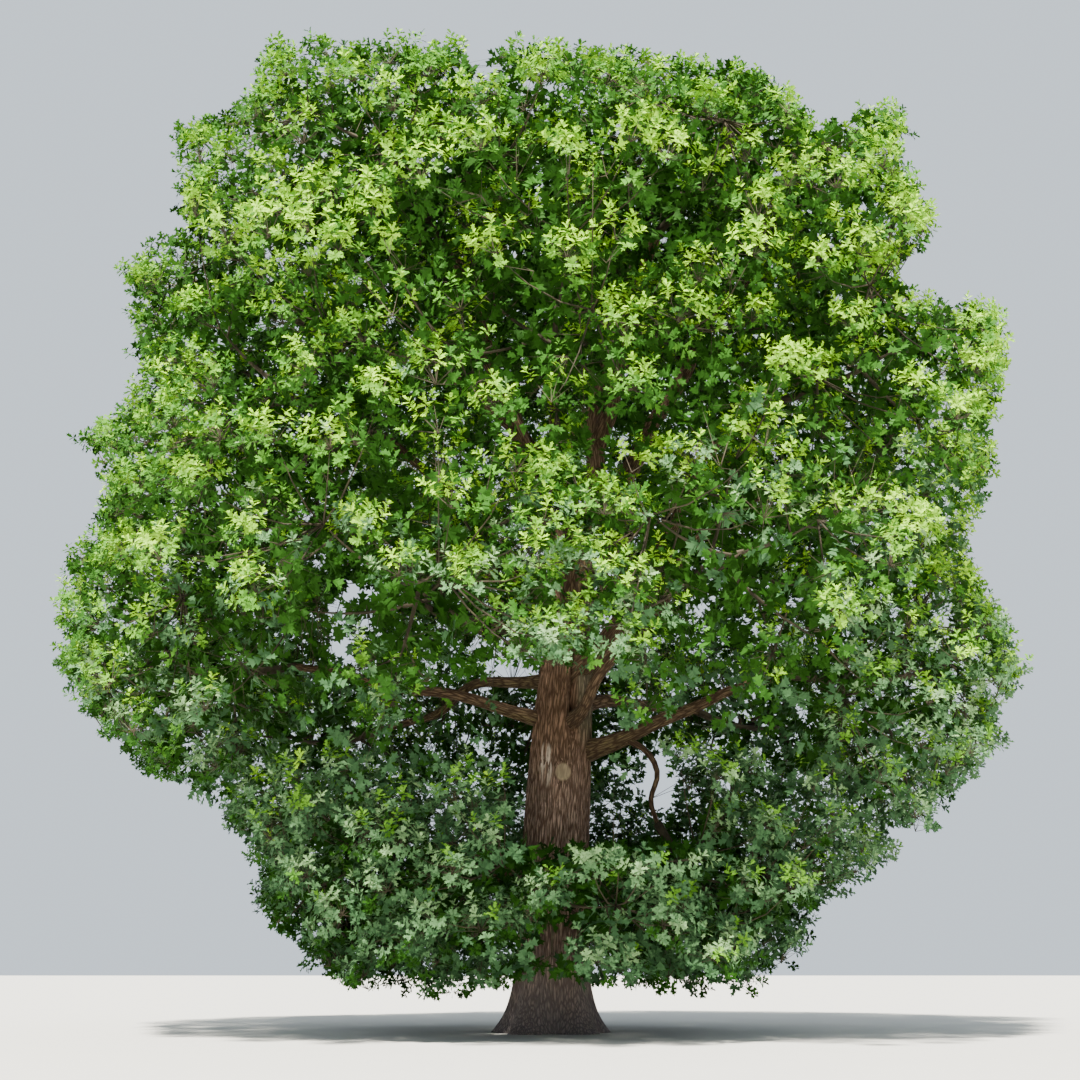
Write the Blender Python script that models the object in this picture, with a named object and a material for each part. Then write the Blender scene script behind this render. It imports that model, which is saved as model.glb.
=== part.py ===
"""A mature spreading oak, grown in the open and rooted in level ground.

The trunk stands on its flat cut at z = 0 and forks about 12 m up. Boughs leave it in five tiers,
and each bough ends where it enters its own mass of foliage. Metres, +Z up, the origin in the
middle of the flat cut. The side that faces -Y is the one the sizes were taken from.
"""

import math
import random
from collections import namedtuple

import bmesh
import bpy
from mathutils import Matrix, Vector

# Trunk
TRUNK_TOP = 12.8
CROTCH = 12.0
CROTCH_ROUNDING = 0.75
BOLE_RADIUS = 0.93
FORK_RADIUS = 0.50
BOLE_TAPER = 3.0
FLARE_REACH = 0.56
FLARE_HEIGHT = 0.72
BUTTRESSES = 5
BUTTRESS_DEPTH = 0.15
BUTTRESS_HEIGHT = 1.5
BUTTRESS_TURN = math.radians(20)
LEAN = 0.50
LEAN_HEIGHT = 10.5
GROOVE_AZIMUTH = math.radians(292)
GROOVE_WIDTH = math.radians(17)
GROOVE_DEPTH = 0.20
GROOVE_START = 7.6
GROOVE_FULL = 9.4
TRUNK_SIDES = 24
TRUNK_RINGS = 14
RING_CROWDING = 1.7

# Limbs
JOINT_GAP = 0.0003
CUTTER_GAP = 0.0005
BOUGH_STEP_LENGTH = 1.8
BOUGH_LEAST_STEPS = 4
BOUGH_MOST_STEPS = 7
BOUGH_TIP_RADIUS = 0.130
BOUGH_TAPER = 0.8
BOUGH_WANDER = 0.040
WANDER_UPWARD = 0.7
LEAVING_HANDLE = 0.42
ARRIVING_HANDLE = 0.34
CURVE_SIDES_CODE = 1
WELD = 0.00001
ENTRY_SHARE = 0.64

# Foliage
STEM_SHARE = 0.30
STEM_ROOT_RADIUS = 0.126
STEM_TIP_RADIUS = 0.112
TWIGS = 7
TWIG_SHARES = (0.56, 0.70)
TWIG_PLACES = (0.30, 0.96)
TWIG_CUTS = (1.0, 0.85, 0.70, 0.55)
TWIG_SCATTER = 0.6
TWIG_TURNS = math.radians(12)
TWIG_ROOT_RADIUS = 0.054
TWIG_TIP_RADIUS = 0.050
LEAF_PLACES = (0.66, 0.84, 1.0)
LEAF_SPLAYS = (math.radians(76), math.radians(64), math.radians(14))
LEAF_LENGTH = 2.60
LEAF_WIDTH_SHARE = 0.62
LEAF_WIDEST = 0.60
LEAF_THICKNESS_SHARE = 0.035
LEAF_SUNK = 0.018
LEAF_TRIES = 16
SHORTER_LEAF = 0.80
LEAF_VARIETY = (0.9, 1.08)
LEAF_RISE = 0.6
LEAF_ROLL = 0.3
LEAF_MIDDLE = 0.55
LEAF_TESTS = ((0.3, 0.5), (0.3, -0.5), (0.7, 0.5), (0.7, -0.5))
OUTER_FIRST = 0.25
DIRECTION_SPREAD = 1.56
SPACE_MARGIN = 0.05
SPACE_NEARNESS = 0.5
GAP_SAMPLES = 8
LIMB_CLEARANCE = 0.26
TWIG_CLEARANCE = 0.06
GROUND_CLEARANCE = 0.85
UNEVEN_HEIGHT = 0.45
UNEVEN_REACH = 0.40
UNEVEN_AZIMUTH = math.radians(4)
ROD_SIDES = 3
ROD_FACES = tuple(math.radians(a) for a in (30, 150, 270))
GOLDEN_ANGLE = math.pi * (3 - math.sqrt(5))
SEED = 41

# The opening in the front of the crown, through which the trunk and the first boughs are seen. Its
# floor and its roof rise towards the trunk; it is wider on the +X side below its shoulder.
OPENING_LEFT = -1.15
OPENING_RIGHT = 1.35
OPENING_WIDE_RIGHT = 3.9
OPENING_FLOOR = (4.9, 0.069)
OPENING_SHOULDER = (7.2, 0.121)
OPENING_ROOF = (9.9, 0.18)

# A tier of boughs. attach is the height where its boughs leave the trunk, every other one higher by
# stagger. heart is the height of the middle of its masses, raised by tilt towards +X and by lift
# towards the front. The reaches are from the trunk's axis to the outermost leaf. semi holds half
# the radial, tangential and vertical size of a mass. facing is how far a mass faces up for each
# metre outwards, and rise is the angle in degrees at which the boughs leave.
Tier = namedtuple(
    "Tier",
    "name count first_azimuth attach stagger heart tilt lift reach_left reach_right reach_depth "
    "semi root_radius rise facing",
)
TIERS = (
    Tier("top", 3, 90, 11.7, 0.0, 22.9, -0.2, 0.1, 9.4, 7.8, 7.8, (4.8, 5.2, 3.4), 0.31, 72, 3.0),
    Tier("upper", 6, 0, 14.6, 1.7, 21.8, 0.8, 0.4, 13.7, 12.8, 12.0, (4.5, 5.8, 4.2), 0.20, 48, 0.5),
    Tier("middle", 7, 16, 9.6, 1.2, 15.7, 1.0, 0.7, 14.3, 14.5, 13.2, (4.6, 5.8, 4.2), 0.25, 34, 0.2),
    Tier("lower", 7, -10, 7.6, 1.5, 9.2, 0.2, 1.5, 14.8, 14.4, 13.2, (4.8, 6.0, 4.3), 0.25, 14, 0.0),
    Tier("skirt", 6, 268, 3.7, 0.5, 3.7, 0.0, -0.5, 9.4, 8.2, 8.4, (3.6, 4.2, 2.8), 0.17, 26, -0.1),
)
ROOT_TILT = 0.5
ROOT_LIFT = 0.5
STOUTER_TO_RIGHT = 0.5
STOUTER_POWER = 4
LEADER_TIER = "top"
TIER_ON_LEADERS = "upper"
HANGING_BOUGH = "skirt_2"
CARRIES_HANGING_BOUGH = "lower_1"
HANGING_ROOT_SHARE = 0.24
HANGING_FACING = -1.6
HANGING_FALL = 0.25

Mass = namedtuple("Mass", "name tier heart outward sideways semi facing")
Limb = namedtuple("Limb", "name points radii")

BARK = ("bark", (0.155, 0.098, 0.064), 0.92)
LEAVES = ("leaves", (0.105, 0.235, 0.028), 0.62)


def clear_scene():
    """Empty the scene."""
    for obj in list(bpy.data.objects):
        bpy.data.objects.remove(obj)


def new_collection(name):
    """A collection linked to the scene."""
    made = bpy.data.collections.new(name)
    bpy.context.scene.collection.children.link(made)
    return made


def material(name, color, roughness):
    """A Principled material of one colour."""
    made = bpy.data.materials.new(name)
    made.use_nodes = True
    shader = made.node_tree.nodes["Principled BSDF"]
    shader.inputs["Base Color"].default_value = (*color, 1.0)
    shader.inputs["Roughness"].default_value = roughness
    shader.inputs["Metallic"].default_value = 0.0
    return made


def ease(value):
    """Smooth step from 0 to 1."""
    t = min(1.0, max(0.0, value))
    return t * t * (3 - 2 * t)


def on_circle(azimuth, radius=1.0):
    """A level vector at that azimuth, in radians from +X."""
    return Vector((math.cos(azimuth) * radius, math.sin(azimuth) * radius, 0.0))


# Trunk


def trunk_axis(z):
    """The middle of the trunk at height z: it leans slowly towards +X."""
    return Vector((LEAN * (z / LEAN_HEIGHT) ** 2, 0.0, z))


def trunk_radius(z, azimuth):
    """Radius of the trunk at height z: bole taper, root flare, buttresses and the groove below the fork."""
    bole = FORK_RADIUS + (BOLE_RADIUS - FORK_RADIUS) * (1 - (z / TRUNK_TOP) ** BOLE_TAPER)
    bole *= math.sqrt(1 - CROTCH_ROUNDING * max(0.0, (z - CROTCH) / (TRUNK_TOP - CROTCH)) ** 2)
    flare = FLARE_REACH * math.exp(-z / FLARE_HEIGHT)
    lobes = BUTTRESS_DEPTH * math.exp(-z / BUTTRESS_HEIGHT)
    buttress = 1 + lobes * math.cos(BUTTRESSES * (azimuth - BUTTRESS_TURN))
    off = (azimuth - GROOVE_AZIMUTH + math.pi) % (2 * math.pi) - math.pi
    deep = ease((z - GROOVE_START) / (GROOVE_FULL - GROOVE_START))
    groove = 1 - GROOVE_DEPTH * deep * math.exp(-((off / GROOVE_WIDTH) ** 2))
    return (bole + flare) * buttress * groove


def trunk_mesh(name, clearance=0.0):
    """The trunk as a loft of rings between its flat cut and its fork, each wider by clearance."""
    mesh = bpy.data.meshes.new(name)
    bm = bmesh.new()
    rings = []
    for i in range(TRUNK_RINGS + 1):
        z = TRUNK_TOP * (i / TRUNK_RINGS) ** RING_CROWDING
        z += clearance if i == TRUNK_RINGS else 0.0
        ring = []
        for j in range(TRUNK_SIDES):
            azimuth = 2 * math.pi * j / TRUNK_SIDES
            at = trunk_axis(z) + on_circle(azimuth, trunk_radius(z, azimuth) + clearance)
            ring.append(bm.verts.new(at))
        rings.append(ring)
    for low, high in zip(rings, rings[1:]):
        for j in range(TRUNK_SIDES):
            k = (j + 1) % TRUNK_SIDES
            bm.faces.new((low[j], low[k], high[k]))
            bm.faces.new((low[j], high[k], high[j]))
    bm.faces.new(reversed(rings[0]))
    bm.faces.new(rings[-1])
    bm.to_mesh(mesh)
    bm.free()
    return mesh


def trunk_limb():
    """The trunk as a limb, for the tests of what would touch it."""
    heights = [TRUNK_TOP * i / TRUNK_RINGS for i in range(TRUNK_RINGS + 1)]
    lobe = 1 + BUTTRESS_DEPTH
    return Limb("trunk", [trunk_axis(z) for z in heights], [trunk_radius(z, 0) * lobe for z in heights])


# Masses: their places and spaces


def reach(tier, azimuth):
    """How far a tier's foliage reaches from the trunk's axis at that azimuth."""
    side = tier.reach_right if math.cos(azimuth) > 0 else tier.reach_left
    return math.hypot(math.cos(azimuth) * side, math.sin(azimuth) * tier.reach_depth)


def place_masses():
    """Every mass, tier by tier, evenly round the trunk."""
    rng = random.Random(SEED)
    masses = []
    for tier in TIERS:
        for n in range(tier.count):
            azimuth = math.radians(tier.first_azimuth + 360 * n / tier.count)
            azimuth += rng.uniform(-UNEVEN_AZIMUTH, UNEVEN_AZIMUTH)
            outward = on_circle(azimuth)
            sideways = Vector((-outward.y, outward.x, 0.0))
            height = tier.heart + tier.tilt * outward.x + tier.lift * max(0.0, -outward.y)
            height += rng.uniform(-UNEVEN_HEIGHT, UNEVEN_HEIGHT)
            out = reach(tier, azimuth) - tier.semi[0] + rng.uniform(-UNEVEN_REACH, UNEVEN_REACH)
            heart = outward * out + Vector((0, 0, height))
            name = f"{tier.name}_{n + 1}"
            facing = HANGING_FACING if name == HANGING_BOUGH else tier.facing
            facing = (outward + Vector((0, 0, facing))).normalized()
            masses.append(Mass(name, tier, heart, outward, sideways, Vector(tier.semi), facing))
    return masses


def walls_of(mass, masses):
    """The planes half-way to each other mass, as (point, normal away from this one)."""
    walls = []
    for other in masses:
        if other is not mass:
            away = (other.heart - mass.heart).normalized()
            walls.append(((mass.heart + other.heart) / 2, away))
    return walls


def in_space(mass, walls, point):
    """True if the point lies in the mass's own space."""
    off = point - mass.heart
    across = Vector((off.dot(mass.outward), off.dot(mass.sideways), off.z))
    if sum((across[i] / mass.semi[i]) ** 2 for i in range(3)) > 1 or point.z < GROUND_CLEARANCE:
        return False
    if in_opening(point):
        return False
    return all((point - middle).dot(away) < -SPACE_MARGIN for middle, away in walls)


def in_opening(point):
    """True if the point lies in the opening in the front of the crown."""
    if point.y > 0 or not OPENING_LEFT < point.x < OPENING_WIDE_RIGHT:
        return False
    roof = OPENING_ROOF if point.x < OPENING_RIGHT else OPENING_SHOULDER
    low, high = (at_trunk + slope * point.y for at_trunk, slope in (OPENING_FLOOR, roof))
    return low < point.z < high


# Boughs


def curve_points(start, leave, arrive, end, steps):
    """Points on the Bezier curve from start to end through two handles."""
    points = []
    for i in range(steps + 1):
        t = i / steps
        s = 1 - t
        points.append(start * s**3 + leave * 3 * s * s * t + arrive * 3 * s * t * t + end * t**3)
    return points


def bough_limb(mass, start, leave_direction, root_radius, rng):
    """The tapering limb from start to where it enters the mass, wandering a little on the way."""
    entry = toward(mass, -mass.facing, ENTRY_SHARE)
    span = (entry - start).length
    arrive_direction = ((mass.heart - entry).normalized() + (entry - start).normalized()).normalized()
    leave = start + leave_direction.normalized() * span * LEAVING_HANDLE
    arrive = entry - arrive_direction * span * ARRIVING_HANDLE
    steps = min(BOUGH_MOST_STEPS, max(BOUGH_LEAST_STEPS, round(span / BOUGH_STEP_LENGTH)))
    points = curve_points(start, leave, arrive, entry, steps)
    side = (entry - start).cross(Vector((0, 0, 1))).normalized()
    radii = []
    for i in range(steps + 1):
        t = i / steps
        swing = BOUGH_WANDER * mass.outward.dot(leave_direction) * span * math.sin(math.pi * t)
        if 1 < i < steps - 1:
            points[i] += side * rng.uniform(-swing, swing)
            points[i] += Vector((0, 0, 1)) * rng.uniform(-swing, swing) * WANDER_UPWARD
        radii.append(root_radius + (BOUGH_TIP_RADIUS - root_radius) * t**BOUGH_TAPER)
    return Limb(f"bough_{mass.name}", points, radii)


def lay_out_limbs(masses):
    """The trunk and every bough by name, with what each bough is cut clear of."""
    limbs = {"trunk": trunk_limb()}
    carriers = {}
    rng = random.Random(SEED)
    leaders = [m for m in masses if m.tier.name == LEADER_TIER]
    for mass in masses:
        tier = mass.tier
        number = int(mass.name.rsplit("_", 1)[1])
        root = tier.attach + tier.stagger * ((number + 1) % 2)
        if tier.name != LEADER_TIER:
            root += ROOT_LIFT * tier.lift * max(0.0, -mass.outward.y) - ROOT_TILT * mass.outward.x
        root_radius = tier.root_radius * (1 + STOUTER_TO_RIGHT * max(0.0, mass.outward.x) ** STOUTER_POWER)
        leave = mass.outward * math.cos(math.radians(tier.rise))
        leave += Vector((0, 0, math.sin(math.radians(tier.rise))))
        name = f"bough_{mass.name}"
        if tier.name == TIER_ON_LEADERS:
            leader = min(leaders, key=lambda m: (m.outward - mass.outward).length)
            carrier = limbs[f"bough_{leader.name}"]
            start = point_at_height(carrier, root)
            carriers[name] = [carrier.name]
        elif mass.name == HANGING_BOUGH:
            carrier = limbs[f"bough_{CARRIES_HANGING_BOUGH}"]
            start = carrier.points[0].lerp(carrier.points[-1], HANGING_ROOT_SHARE)
            start = min(carrier.points[1:], key=lambda p: (p - start).length).copy()
            leave = (mass.outward + Vector((0, 0, -HANGING_FALL))).normalized()
            carriers[name] = [carrier.name]
        else:
            start = trunk_axis(root)
            carriers[name] = ["trunk"]
        limbs[name] = bough_limb(mass, start, leave, root_radius, rng)
        if tier.name == LEADER_TIER:
            carriers[name] += [f"bough_{m.name}" for m in leaders[: leaders.index(mass)]]
    return limbs, carriers


def point_at_height(limb, z):
    """The point of a rising limb at height z."""
    for low, high in zip(limb.points, limb.points[1:]):
        if low.z <= z <= high.z:
            return low.lerp(high, (z - low.z) / (high.z - low.z))
    return limb.points[-1].copy()


def limb_mesh(limb, clearance=0.0):
    """The limb's tube as a closed mesh, from a curve with filled caps."""
    curve = bpy.data.curves.new(limb.name, "CURVE")
    curve.dimensions = "3D"
    curve.bevel_depth = 1.0
    curve.bevel_resolution = CURVE_SIDES_CODE
    curve.use_fill_caps = True
    spline = curve.splines.new("POLY")
    spline.points.add(len(limb.points) - 1)
    for knot, point, radius in zip(spline.points, limb.points, limb.radii):
        knot.co = (*point, 1.0)
        knot.radius = radius + clearance
    holder = bpy.data.objects.new(limb.name, curve)
    bpy.context.scene.collection.objects.link(holder)
    graph = bpy.context.evaluated_depsgraph_get()
    mesh = bpy.data.meshes.new_from_object(holder.evaluated_get(graph))
    bpy.data.objects.remove(holder)
    bpy.data.curves.remove(curve)
    bm = bmesh.new()
    bm.from_mesh(mesh)
    bmesh.ops.remove_doubles(bm, verts=bm.verts, dist=WELD)
    bmesh.ops.recalc_face_normals(bm, faces=bm.faces)
    bmesh.ops.triangulate(bm, faces=bm.faces, quad_method="FIXED")
    bm.to_mesh(mesh)
    bm.free()
    return mesh


# Foliage: the branching rule


def even_direction(index, count, mass, turn):
    """One of count directions spread evenly over a mass, but for the side its bough comes from."""
    along = 1.0 - DIRECTION_SPREAD * (index + 0.5) / count
    across = math.sqrt(max(0.0, 1 - along * along))
    spin = index * GOLDEN_ANGLE + turn
    square = mass.facing.cross(mass.sideways)
    return mass.facing * along + (mass.sideways * math.cos(spin) + square * math.sin(spin)) * across


def toward(mass, direction, share):
    """The point that share of the way from the heart to the edge of the mass's space."""
    point = mass.heart + mass.outward * direction.dot(mass.outward) * mass.semi.x * share
    point += mass.sideways * direction.dot(mass.sideways) * mass.semi.y * share
    return point + Vector((0, 0, direction.z * mass.semi.z * share))


def segment_gap(a, b, c, d):
    """The least distance between the segments a-b and c-d, and how far along c-d it lies."""
    best, where = 1e9, 0.0
    ab, cd = b - a, d - c
    for i in range(GAP_SAMPLES + 1):
        point = a + ab * (i / GAP_SAMPLES)
        s = min(1.0, max(0.0, (point - c).dot(cd) / max(cd.length_squared, 1e-9)))
        gap = (point - c - cd * s).length
        if gap < best:
            best, where = gap, s
    return best, where


def touches_limb(a, b, radius, limbs, clearance):
    """True if a rod from a to b comes nearer than clearance to a limb."""
    for limb in limbs:
        for i in range(len(limb.points) - 1):
            gap, where = segment_gap(a, b, limb.points[i], limb.points[i + 1])
            thick = limb.radii[i] + (limb.radii[i + 1] - limb.radii[i]) * where
            if gap < thick + radius + clearance:
                return True
    return False


def rod_fits(mass, walls, limbs, start, end):
    """True if a twig stays in the mass's space and clear of the limbs."""
    if not in_space(mass, walls, end):
        return False
    return not touches_limb(start, end, TWIG_ROOT_RADIUS, limbs, TWIG_CLEARANCE)


def leaf_points(leaf):
    """Points over a leaf's blade, for the tests of its place."""
    root, along, normal, length = leaf
    side = along.cross(normal).normalized()
    half = length * LEAF_WIDTH_SHARE / 2
    middle = root + along * length / 2
    rim = [root + along * length, middle + side * half, middle - side * half]
    inner = [root + along * length * place + side * half * across for place, across in LEAF_TESTS]
    return rim, inner


def leaf_fits(mass, walls, limbs, leaf):
    """True if the leaf stays in the mass's space and touches no limb."""
    rim, inner = leaf_points(leaf)
    if not all(in_space(mass, walls, p) for p in rim):
        return False
    root, along, _, length = leaf
    rods = [(root, rim[0]), (rim[1], rim[2]), (inner[0], inner[2]), (inner[1], inner[3])]
    return not any(touches_limb(a, b, 0.0, limbs, LIMB_CLEARANCE) for a, b in rods)


def grow(mass, masses, limbs):
    """The twigs and leaves of one mass.

    Twigs are (start, end, root radius, tip radius), the stem first. Leaves are (root, along, normal,
    length). The stem runs from the bough's tip through the heart, and twigs leave it one after the
    other for even directions. A leaf takes the side of its twig that lies furthest from the leaves
    before it, and is left out where none fits.
    """
    rng = random.Random(f"{SEED}{mass.name}")
    walls = walls_of(mass, masses)
    bough = limbs[f"bough_{mass.name}"]
    near = [limb for limb in limbs.values() if touches_space(mass, limb)]
    root = bough.points[-1] + bough_end(bough) * JOINT_GAP
    stem = (root, toward(mass, mass.facing, STEM_SHARE), STEM_ROOT_RADIUS, STEM_TIP_RADIUS)
    turn = rng.uniform(0, 2 * math.pi)
    twigs, leaves = [], []
    for i in range(TWIGS):
        end = toward(mass, even_direction(i, TWIGS, mass, turn), rng.uniform(*TWIG_SHARES))
        first, last = TWIG_PLACES
        start = root.lerp(stem[1], last + (first - last) * (i + rng.uniform(0.0, TWIG_SCATTER)) / TWIGS)
        twig, on_twig = None, []
        for share in TWIG_CUTS:
            tip = start.lerp(end, share)
            if len(on_twig) < len(LEAF_PLACES) and rod_fits(mass, walls, near, start, tip):
                rod = (start, tip, TWIG_ROOT_RADIUS, TWIG_TIP_RADIUS)
                found = leaves_on(rod, mass, walls, near, leaves, rng)
                if len(found) > len(on_twig):
                    twig, on_twig = rod, found
        if twig:
            twigs.append(twig)
            leaves += on_twig
    return [stem] + twigs, leaves


def touches_space(mass, limb):
    """True if the limb may pass through or near the mass's space."""
    most = max(mass.semi) + SPACE_NEARNESS
    return any(
        segment_gap(a, b, mass.heart, mass.heart + Vector((0, 0, 0.01)))[0] < most
        for a, b in zip(limb.points, limb.points[1:])
    )


def leaves_on(twig, mass, walls, limbs, others, rng):
    """The leaves of one twig, each on the side of it where the foliage is thinnest."""
    start, end = twig[0], twig[1]
    square = rod_square(start, end)
    out = square @ Vector((0, 0, 1))
    made = []
    for place, splay in zip(LEAF_PLACES, LEAF_SPLAYS):
        best, best_room = None, 0.0
        for attempt in range(LEAF_TRIES):
            turn = rng.choice(ROD_FACES) + rng.uniform(-TWIG_TURNS, TWIG_TURNS)
            side = square @ Vector((math.cos(turn), math.sin(turn), 0.0))
            along = out * math.cos(splay) + side * math.sin(splay)
            face = (end - mass.heart).normalized() + Vector((0, 0, rng.uniform(0.0, LEAF_RISE)))
            face += side * rng.uniform(-LEAF_ROLL, LEAF_ROLL)
            normal = face - along * face.dot(along)
            shorter = 1.0 if attempt < LEAF_TRIES / 2 else SHORTER_LEAF
            length = LEAF_LENGTH * shorter * rng.uniform(*LEAF_VARIETY)
            leaf = (start.lerp(end, place) - along * LEAF_SUNK, along, normal.normalized(), length)
            if not leaf_fits(mass, walls, limbs, leaf):
                continue
            middle = leaf_middle(leaf)
            room = min([(middle - leaf_middle(o)).length for o in others + made] or [length])
            room += OUTER_FIRST * (middle - mass.heart).length
            if room > best_room:
                best, best_room = leaf, room
        if best:
            made.append(best)
    return made


def leaf_middle(leaf):
    """The middle of a leaf's blade."""
    return leaf[0] + leaf[1] * leaf[3] * LEAF_MIDDLE


def rod_square(start, end):
    """The turn from upright to a rod's own direction."""
    return (end - start).to_track_quat("Z", "Y").to_matrix()


# Foliage: its solids


def rod_object(name, rod, collection, root_normal=None):
    """A three-sided tapering rod, its root end cut square to root_normal if that is given."""
    start, end, root_radius, tip_radius = rod
    way = end - start
    mesh = bpy.data.meshes.new(name)
    bm = bmesh.new()
    place = Matrix.Translation((start + end) / 2) @ rod_square(start, end).to_4x4()
    bmesh.ops.create_cone(
        bm,
        cap_ends=True,
        segments=ROD_SIDES,
        radius1=root_radius,
        radius2=tip_radius,
        depth=way.length,
        matrix=place,
    )
    if root_normal:
        for vert in bm.verts:
            if (vert.co - start).length < (vert.co - end).length:
                vert.co += way * ((start - vert.co).dot(root_normal) / way.dot(root_normal))
    bm.to_mesh(mesh)
    bm.free()
    obj = bpy.data.objects.new(name, mesh)
    collection.objects.link(obj)
    return obj


def leaf_object(name, leaf, collection):
    """A leaf's blade: eight faces, thickest along its middle."""
    root, along, normal, length = leaf
    side = along.cross(normal).normalized()
    half_sizes = (
        side * length * LEAF_WIDTH_SHARE / 2,
        normal * length * LEAF_THICKNESS_SHARE / 2,
        along * length / 2,
    )
    place = Matrix([(*column, 0.0) for column in half_sizes] + [(0, 0, 0, 1)]).transposed()
    place.translation = root + along * length / 2
    mesh = bpy.data.meshes.new(name)
    bm = bmesh.new()
    bmesh.ops.create_uvsphere(bm, u_segments=4, v_segments=2, radius=1.0)
    for vert in bm.verts:
        if abs(vert.co.z) < 0.5:
            vert.co.z = 2 * LEAF_WIDEST - 1
    bmesh.ops.transform(bm, matrix=place, verts=bm.verts)
    bmesh.ops.recalc_face_normals(bm, faces=bm.faces)
    bm.to_mesh(mesh)
    bm.free()
    obj = bpy.data.objects.new(name, mesh)
    collection.objects.link(obj)
    return obj


def largest_shell(mesh):
    """Drop every loose scrap of a mesh, leaving its largest connected body."""
    bm = bmesh.new()
    bm.from_mesh(mesh)
    left = set(bm.verts)
    shells = []
    while left:
        shell, front = set(), [next(iter(left))]
        while front:
            vert = front.pop()
            if vert in shell:
                continue
            shell.add(vert)
            front += [edge.other_vert(vert) for edge in vert.link_edges]
        shells.append(shell)
        left -= shell
    for shell in sorted(shells, key=len)[:-1]:
        bmesh.ops.delete(bm, geom=list(shell), context="VERTS")
    bm.to_mesh(mesh)
    bm.free()


def apply_modifiers(obj):
    """Turn an object's modifiers into its mesh."""
    graph = bpy.context.evaluated_depsgraph_get()
    made = bpy.data.meshes.new_from_object(obj.evaluated_get(graph))
    made.name = obj.name
    obj.modifiers.clear()
    obj.data = made


def bough_end(bough):
    """The direction in which a bough ends."""
    return (bough.points[-1] - bough.points[-2]).normalized()


def mass_object(mass, bough, twigs, leaves, parts, finish):
    """One mass of foliage: its stem joined with its twigs and leaves by one Boolean union."""
    pieces = bpy.data.collections.new(f"pieces_{mass.name}")
    bpy.context.scene.collection.children.link(pieces)
    name = f"foliage_{mass.name}"
    stem = rod_object(name, twigs[0], parts, bough_end(bough))
    for i, twig in enumerate(twigs[1:]):
        rod_object(f"twig_{mass.name}_{i}", twig, pieces)
    for i, leaf in enumerate(leaves):
        leaf_object(f"leaf_{mass.name}_{i}", leaf, pieces)
    union = stem.modifiers.new("join", "BOOLEAN")
    union.operation = "UNION"
    union.operand_type = "COLLECTION"
    union.collection = pieces
    union.solver = "MANIFOLD"
    apply_modifiers(stem)
    largest_shell(stem.data)
    stem.data.materials.clear()
    stem.data.materials.append(finish)
    for obj in list(pieces.objects):
        bpy.data.objects.remove(obj)
    bpy.data.collections.remove(pieces)
    return stem


# The whole tree


def limb_object(name, mesh, collection, finish):
    """A named object for a limb, shaded smooth."""
    mesh.name = name
    mesh.shade_smooth()
    mesh.materials.append(finish)
    obj = bpy.data.objects.new(name, mesh)
    collection.objects.link(obj)
    return obj


def build_limbs(limbs, carriers, parts, cutters, finish):
    """The trunk and the boughs, each bough cut clear of what carries it."""
    limb_object("trunk", trunk_mesh("trunk"), parts, finish)
    cutter_of = {}
    for carrier in sorted({c for cut in carriers.values() for c in cut}):
        if carrier == "trunk":
            mesh = trunk_mesh("trunk_cutter", CUTTER_GAP)
        else:
            mesh = limb_mesh(limbs[carrier], CUTTER_GAP)
        cutter = bpy.data.objects.new(f"cutter_{carrier}", mesh)
        cutter.hide_render = True
        cutter.display_type = "WIRE"
        cutters.objects.link(cutter)
        cutter_of[carrier] = cutter
    for name, cut_by in carriers.items():
        obj = limb_object(name, limb_mesh(limbs[name]), parts, finish)
        for carrier in cut_by:
            cut = obj.modifiers.new(f"clear_of_{carrier}", "BOOLEAN")
            cut.operation = "DIFFERENCE"
            cut.solver = "MANIFOLD"
            cut.object = cutter_of[carrier]
        apply_modifiers(obj)
        largest_shell(obj.data)


def main():
    """Build the tree."""
    clear_scene()
    parts = new_collection("spreading_oak")
    cutters = new_collection("cutters")
    bark = material(*BARK)
    leaves_finish = material(*LEAVES)
    masses = place_masses()
    limbs, carriers = lay_out_limbs(masses)
    build_limbs(limbs, carriers, parts, cutters, bark)
    for mass in masses:
        twigs, leaves = grow(mass, masses, limbs)
        bough = limbs[f"bough_{mass.name}"]
        mass_object(mass, bough, twigs, leaves, parts, leaves_finish)


main()
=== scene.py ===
"""A mature spreading oak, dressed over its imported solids.

The limbs, twigs and leaf places grow by the same seeded rule as the solids. Each leaf of the
solids stands for a branchlet here, which carries tufts of leaf sprays, and more tufts fill what is
left of each mass's own space. Metres, +Z up, the trunk's flat cut at z = 0, its front towards -Y.
"""

import logging
import math
import random
from dataclasses import dataclass, field
from enum import Enum
from typing import Any

import bpy
import numpy as np
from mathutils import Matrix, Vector
from numpy.linalg import norm


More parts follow.
